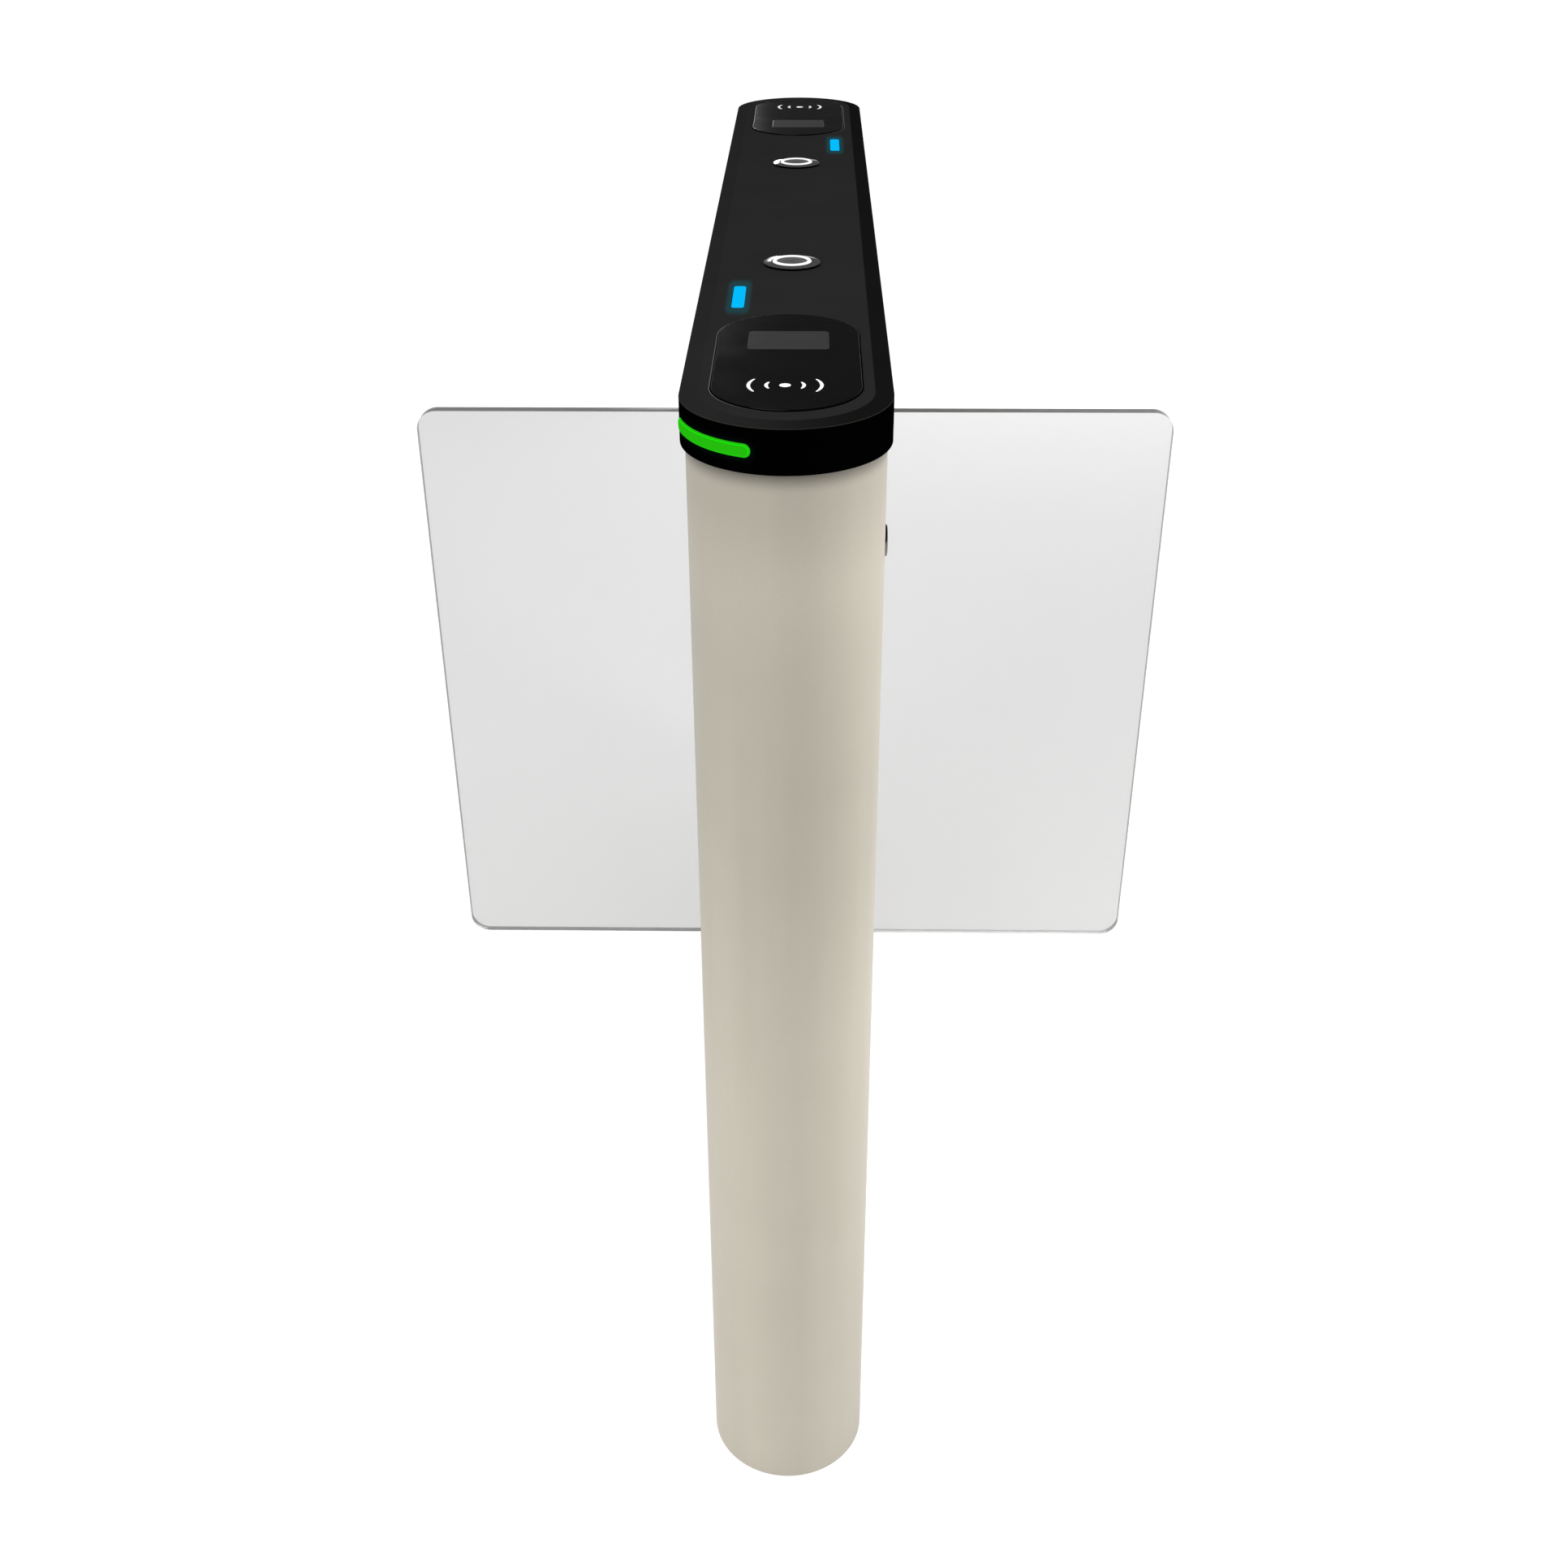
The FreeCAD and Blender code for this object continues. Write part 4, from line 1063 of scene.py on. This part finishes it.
fit_twins(window, "reader_plate_{}", reader_gloss(), "cabinet", "reader_gloss", "reader_window_{}")
fit_twins(join(marks), "contactless_mark_{}", printed_white(), "cabinet", "ring_white")


# Displays: small grey screens in the cut-out of each window, a smooth face over a fine pixel grid,
# faintly lit.
pixel_pitch = 0.0006
line_start = 0.85 * pixel_pitch
line_depth = 0.30
screen_edge = 0.0004


def display_glass():
    """A dim grey screen, faintly lit, behind a smooth face."""
    material, place = new_finish(
        "display_screen", {"Specular IOR Level": 0.15, "Emission Strength": 1.0})
    across = place.part("X").fold(pixel_pitch).rise(line_start, pixel_pitch)
    along = place.part("Y").fold(pixel_pitch).rise(line_start, pixel_pitch)
    lines = line_depth * across.math("MAXIMUM", across, along)
    haze = place.noise(30.0, 3.0)
    feed(material, "Base Color", lines.between(haze.between(grey(30), grey(34)), grey(20)))
    feed(material, "Emission Color", lines.between(haze.between(grey(46), grey(50)), grey(30)))
    feed(material, "Roughness", 0.08 + 0.08 * haze)
    return material


screen = rounded_box(
    display_width, display_length, display_corner, 0, display_centre, display_low.z, display_high.z)
soften(screen, screen_edge)
fit_twins(screen, "display_screen_{}", display_glass(), "cabinet", "display_grey", "display_{}")


# Status lights: bars of blue light guide pressed up through the lid, flush with its top, held by
# a flange against its underside.
light_edge = 0.0004


def dark_guide(name):
    """A plastic guide before it is lit, with its position and the texture that spreads the light."""
    material, place = new_finish(name, {"Emission Strength": 1.0, "Specular IOR Level": 0.0})
    diffuser = place.noise(700.0, 2.0)
    feed(material, "Base Color", diffuser.between(grey(1), grey(4)))
    feed(material, "Roughness", 0.25 + 0.15 * diffuser)
    return material, place, diffuser


def lit_guide(name, body, edge, low, high):
    """A lit guide, from its body colour to its edge colour at the top."""
    material, place, diffuser = dark_guide(name)
    light = place.part("Z").rise(low, high).between(body, edge)
    feed(material, "Emission Color", (0.08 * diffuser).between(light, grey(0)))
    return material


light_bar = rounded_box(
    light_width, light_length, light_corner, light_place.x, light_place.y, lid_under, light_high.z)
pick_facing(z=-1)
widen((light_place.x, light_place.y, lid_under),
      x=1 + 2 * light_flange / light_width, y=1 + 2 * light_flange / light_length)
draw_out(z=light_low.z - lid_under)
done()
soften(light_bar, light_edge, 3)
blue_light = lit_guide(
    "light_blue_lit", colour(1, 185, 255), colour(1, 188, 255, 1.05), lid_under, light_high.z)
fit_twins(light_bar, "status_light_bar_{}", blue_light, "cabinet", "light_blue", "status_light_{}")


# Lamp strips: curved bands of green light guide let into the skirt of the lid, with round ends
# and a soft outer edge, clipped behind the skirt.
lamp_proud = 0.0012
lamp_bevel = 0.0010
lamp_crest = 0.0005
lamp_edge = 0.0002


def lamp_light():
    """Lit green guide: an even body, and a painted highlight: a bright crest where the bevel meets the
    face, strongest along the top.
    """
    material, place, diffuser = dark_guide("light_green_lit")
    # Painted highlight: a bright crest round the bevel, stronger on its upper half.
    crest_highlight = abs(from_lamp(place) + lamp_bevel).rise(lamp_crest, 0.0)
    above = place.part("Z").rise(lamp_middle - lamp_height / 2, lamp_middle + lamp_height / 4)
    body = diffuser.between(colour(38, 184, 15), colour(34, 192, 12))
    feed(material, "Emission Color", (crest_highlight * (0.35 + 0.65 * above)).between(body, colour(2, 250, 1)))
    return material


lamp_strip = lamp_bar(lid_radius - lid_wall, lid_radius + lamp_proud, 0.0, lamp_bevel)
soften(lamp_strip, lamp_edge)
fit_twins(lamp_strip, "lamp_band_{}", lamp_light(), "cabinet", "light_green", "lamp_strip_{}")


# Push buttons: a turned bezel of dark steel on the lid, a white light ring that stands out of it,
# and a cap of brushed steel with a collar under the ring, a pocket for its spring and a guide stem.
flange_rim = 0.0016
shoulder_radius = 0.0174
bezel_edge = 0.0005
ring_outer = 0.0158
ring_inner = 0.0129
ring_depth = 0.0055
ring_round = 0.0008
ring_gap = 0.0001
cup_radius = 0.0146
cup_floor = 0.003
cap_radius = 0.0128
cap_rim = 0.0012
cap_lip_width = 0.0008
cap_lip_depth = 0.0003
dish_rings = 3
dish_width = 0.0028
dish_depth = 0.00012
collar_radius = 0.0142
collar_height = 0.003
pocket_radius = 0.009
stem_radius = 0.004
flange_radius = (button_high.x - button_low.x) / 2
button_face = button_high.z
button_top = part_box("button_ring_front")[1].z
ring_seat = button_top - ring_depth
cap_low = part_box("button_cap_front")[0]
cap_stop = ring_seat - near
# Heights where the painted shade on the foot of the bezel sets in.
foot_shade = (lid_top + 1.06 * flange_rim, lid_top + 0.98 * flange_rim)


def on_button(z):
    """A point on the axis of the front button."""
    return (0, button_y, z)


def turned_steel(name, pale, dark, metallic, roughness):
    """Steel turned on a lathe: fine rings about the button's middle, darker toward the middle of the
    cap, and painted shade that turns its foot near black.
    """
    material, place = new_finish(name, {"Metallic": metallic, "Specular IOR Level": 0.0})
    radius = length_of(place.part("X"), abs(place.part("Y")) + button_y)
    rings = radius.node("ShaderNodeTexNoise", "Fac", {"noise_dimensions": "1D"},
                        {"W": radius, "Scale": 3000.0, "Detail": 2.0})
    film = place.noise(60.0, 2.0)
    dish = radius.rise(cap_radius, 0.2 * cap_radius)
    tone = 0.35 * rings + 0.15 * film + 0.5 * dish
    # Painted shade: the foot below the rim's top edge is painted near black.
    foot = place.part("Z").rise(*foot_shade)
    feed(material, "Base Color", foot.between(tone.between(pale, dark), grey(3)))
    feed(material, "Roughness", (roughness - 0.03) + 0.06 * rings)
    feed(material, "Normal", rings.bump(0.01, 0.00002))
    return material


bezel = add_rod(flange_radius, on_button(lid_top), on_button(lid_top + flange_rim), round_steps)
pick_facing(z=1)
step_in(flange_radius - shoulder_radius, button_face - lid_top - flange_rim)
step_in(shoulder_radius - ring_outer - ring_gap)
draw_out(z=ring_seat - button_face)
step_in(ring_outer + ring_gap - cup_radius)
draw_out(z=button_low.z + cup_floor - ring_seat)
pick_facing(z=-1)
step_in(flange_radius - barrel_radius)
draw_out(z=button_low.z - lid_top)
done()
cut(bezel, add_rod(stem_radius + ring_gap, on_button(button_low.z - cup_floor), on_button(ring_seat)))
soften(bezel, bezel_edge, 3)

ring = add_rod(ring_outer, on_button(ring_seat), on_button(button_top), round_steps)
cut(ring, add_rod(
    ring_inner, on_button(ring_seat - ring_depth), on_button(button_top + ring_depth), round_steps))
soften(ring, ring_round, 4)

cap = add_rod(cap_radius, on_button(cap_stop), on_button(button_face), round_steps)
pick_facing(z=1)
step_in(cap_rim)
step_in(cap_lip_width, -cap_lip_depth)
for dish_ring in range(dish_rings):
    step_in(dish_width, -dish_depth)
pick_facing(z=-1)
widen(on_button(cap_stop), x=collar_radius / cap_radius, y=collar_radius / cap_radius)
draw_out(z=-collar_height)
step_in(collar_radius - pocket_radius)
draw_out(z=collar_height)
step_in(pocket_radius - stem_radius)
draw_out(z=cap_low.z - cap_stop)
done()
soften(cap, edge_break, 3)

bezel_steel = turned_steel("bezel_dark_steel", colour(150, 150, 151), colour(118, 118, 119), 0.8, 0.10)
cap_steel = turned_steel("cap_brushed_steel", grey(113), grey(87), 0.12, 0.40)
ring_lit = lit_guide("ring_lit", grey(255), grey(255, 1.1), lid_top, button_top)
fit_twins(bezel, "button_flange_{}", bezel_steel, "cabinet", "button_metal", "button_bezel_{}")
fit_twins(ring, "button_light_ring_{}", ring_lit, "cabinet", "ring_white", "button_ring_{}")
fit_twins(cap, "button_push_cap_{}", cap_steel, "button_{}", "cap_steel", "button_cap_{}")


# Studio: a plain white floor that runs out of sight, an even white surround, a large soft lamp over
# the front left, one at the right, one behind, a weak one low at the left, a slanted strip for the
# button rims, and the camera as in the photograph.
floor_size = 40.0
floor_light = 0.72
floor_grey = 0.46
fill_level = 0.63
ceiling_level = 0.03
ceiling_edge = (0.02, 0.12)
aim = Vector((0.0, -0.2, 0.7))
low_aim = Vector((0.0, -0.60, 0.12))
strip_lean = math.radians(-12.7)
camera_place = Vector((0.01632, -1.66091, 1.36804))
camera_pitch = math.radians(30.6113)
camera_yaw = math.radians(0.9413)
camera_roll = math.radians(-0.151)
camera_lens = 40.366
sensor_width = 36.0


def shown(tree):
    """1 for rays that show the surround itself or its mirror image, 0 for rays that light."""
    kinds = ("Camera", "Glossy", "Transmission")
    rays = sum(Signal(tree).node("ShaderNodeLightPath", f"Is {kind} Ray") for kind in kinds)
    return rays.math("MINIMUM", rays, 1.0)


def floor_white():
    """White floor: lit from within where it is seen, with a grey that takes the shadow."""
    material = bpy.data.materials.new("floor_white")
    material.use_nodes = True
    tree = material.node_tree
    tree.nodes.clear()
    start = Signal(tree)
    glow = start.node("ShaderNodeEmission", inputs={"Strength": floor_light * shown(tree)})
    matt = start.node(
        "ShaderNodeBsdfDiffuse", inputs={"Color": (floor_grey, floor_grey, floor_grey, 1)})
    both = glow.node("ShaderNodeAddShader", inputs={0: glow, 1: matt})
    output = tree.nodes.new("ShaderNodeOutputMaterial")
    tree.links.new(both.socket, output.inputs["Surface"])
    return material


bpy.ops.mesh.primitive_plane_add(size=floor_size)
floor = bpy.context.object
floor.name = "studio_floor"
floor.data.materials.append(floor_white())

world = bpy.data.worlds.new("studio")
world.use_nodes = True
bpy.context.scene.world = world
surround = world.node_tree.nodes["Background"]
surround.inputs["Color"].default_value = (1, 1, 1, 1)
skyward = Signal(world.node_tree).node("ShaderNodeTexCoord", "Generated").part("Z")
ceiling = skyward.node("ShaderNodeLightPath", "Is Glossy Ray") * skyward.rise(*ceiling_edge)
level = fill_level + (1 - fill_level) * shown(world.node_tree)
level = level - ceiling * (1.0 - ceiling_level)
world.node_tree.links.new(level.socket, surround.inputs["Strength"])


def add_lamp(name, place, size, power, target=aim, lean=0.0, mirrored=True):
    """A soft lamp that looks at a target, in metres and watts, seen in gloss if it is mirrored."""
    bpy.ops.object.light_add(type="AREA", location=place)
    lamp = bpy.context.object
    lamp.name = name
    lamp.data.shape = "RECTANGLE"
    lamp.data.size, lamp.data.size_y = size
    lamp.data.energy = power
    lamp.visible_camera = False
    lamp.visible_glossy = mirrored
    turn = (target - Vector(place)).to_track_quat("-Z", "Y").to_matrix()
    lamp.rotation_euler = (turn @ Matrix.Rotation(lean, 3, "Z")).to_euler()


add_lamp("key_lamp", place=(-1.2, -2.4, 2.6), size=(2.4, 2.4), power=45.0)
add_lamp("side_lamp", place=(1.0, -0.445, 0.92), size=(0.4, 0.4), power=9.6, mirrored=False)
add_lamp("back_lamp", place=(0.6, 2.6, 0.90), size=(1.6, 1.6), power=15.0, mirrored=False)
add_lamp("low_lamp", place=(-0.80, -0.60, 0.12), size=(0.4, 0.4), power=1.6, target=low_aim,
         mirrored=False)
add_lamp("strip_lamp", place=(-0.16, 2.2, 1.31), size=(0.05, 0.53), power=0.7, lean=strip_lean)

bpy.ops.object.camera_add(location=camera_place)
camera = bpy.context.object
camera.name = "photo_camera"
camera.data.sensor_fit = "HORIZONTAL"
camera.data.sensor_width = sensor_width
camera.data.lens = camera_lens
tilt = Matrix.Rotation(math.pi / 2 - camera_pitch, 3, "X")
view = Matrix.Rotation(camera_yaw, 3, "Z") @ tilt @ Matrix.Rotation(camera_roll, 3, "Z")
camera.rotation_euler = view.to_euler()
bpy.context.scene.camera = camera
bpy.context.scene.view_settings.view_transform = "Standard"
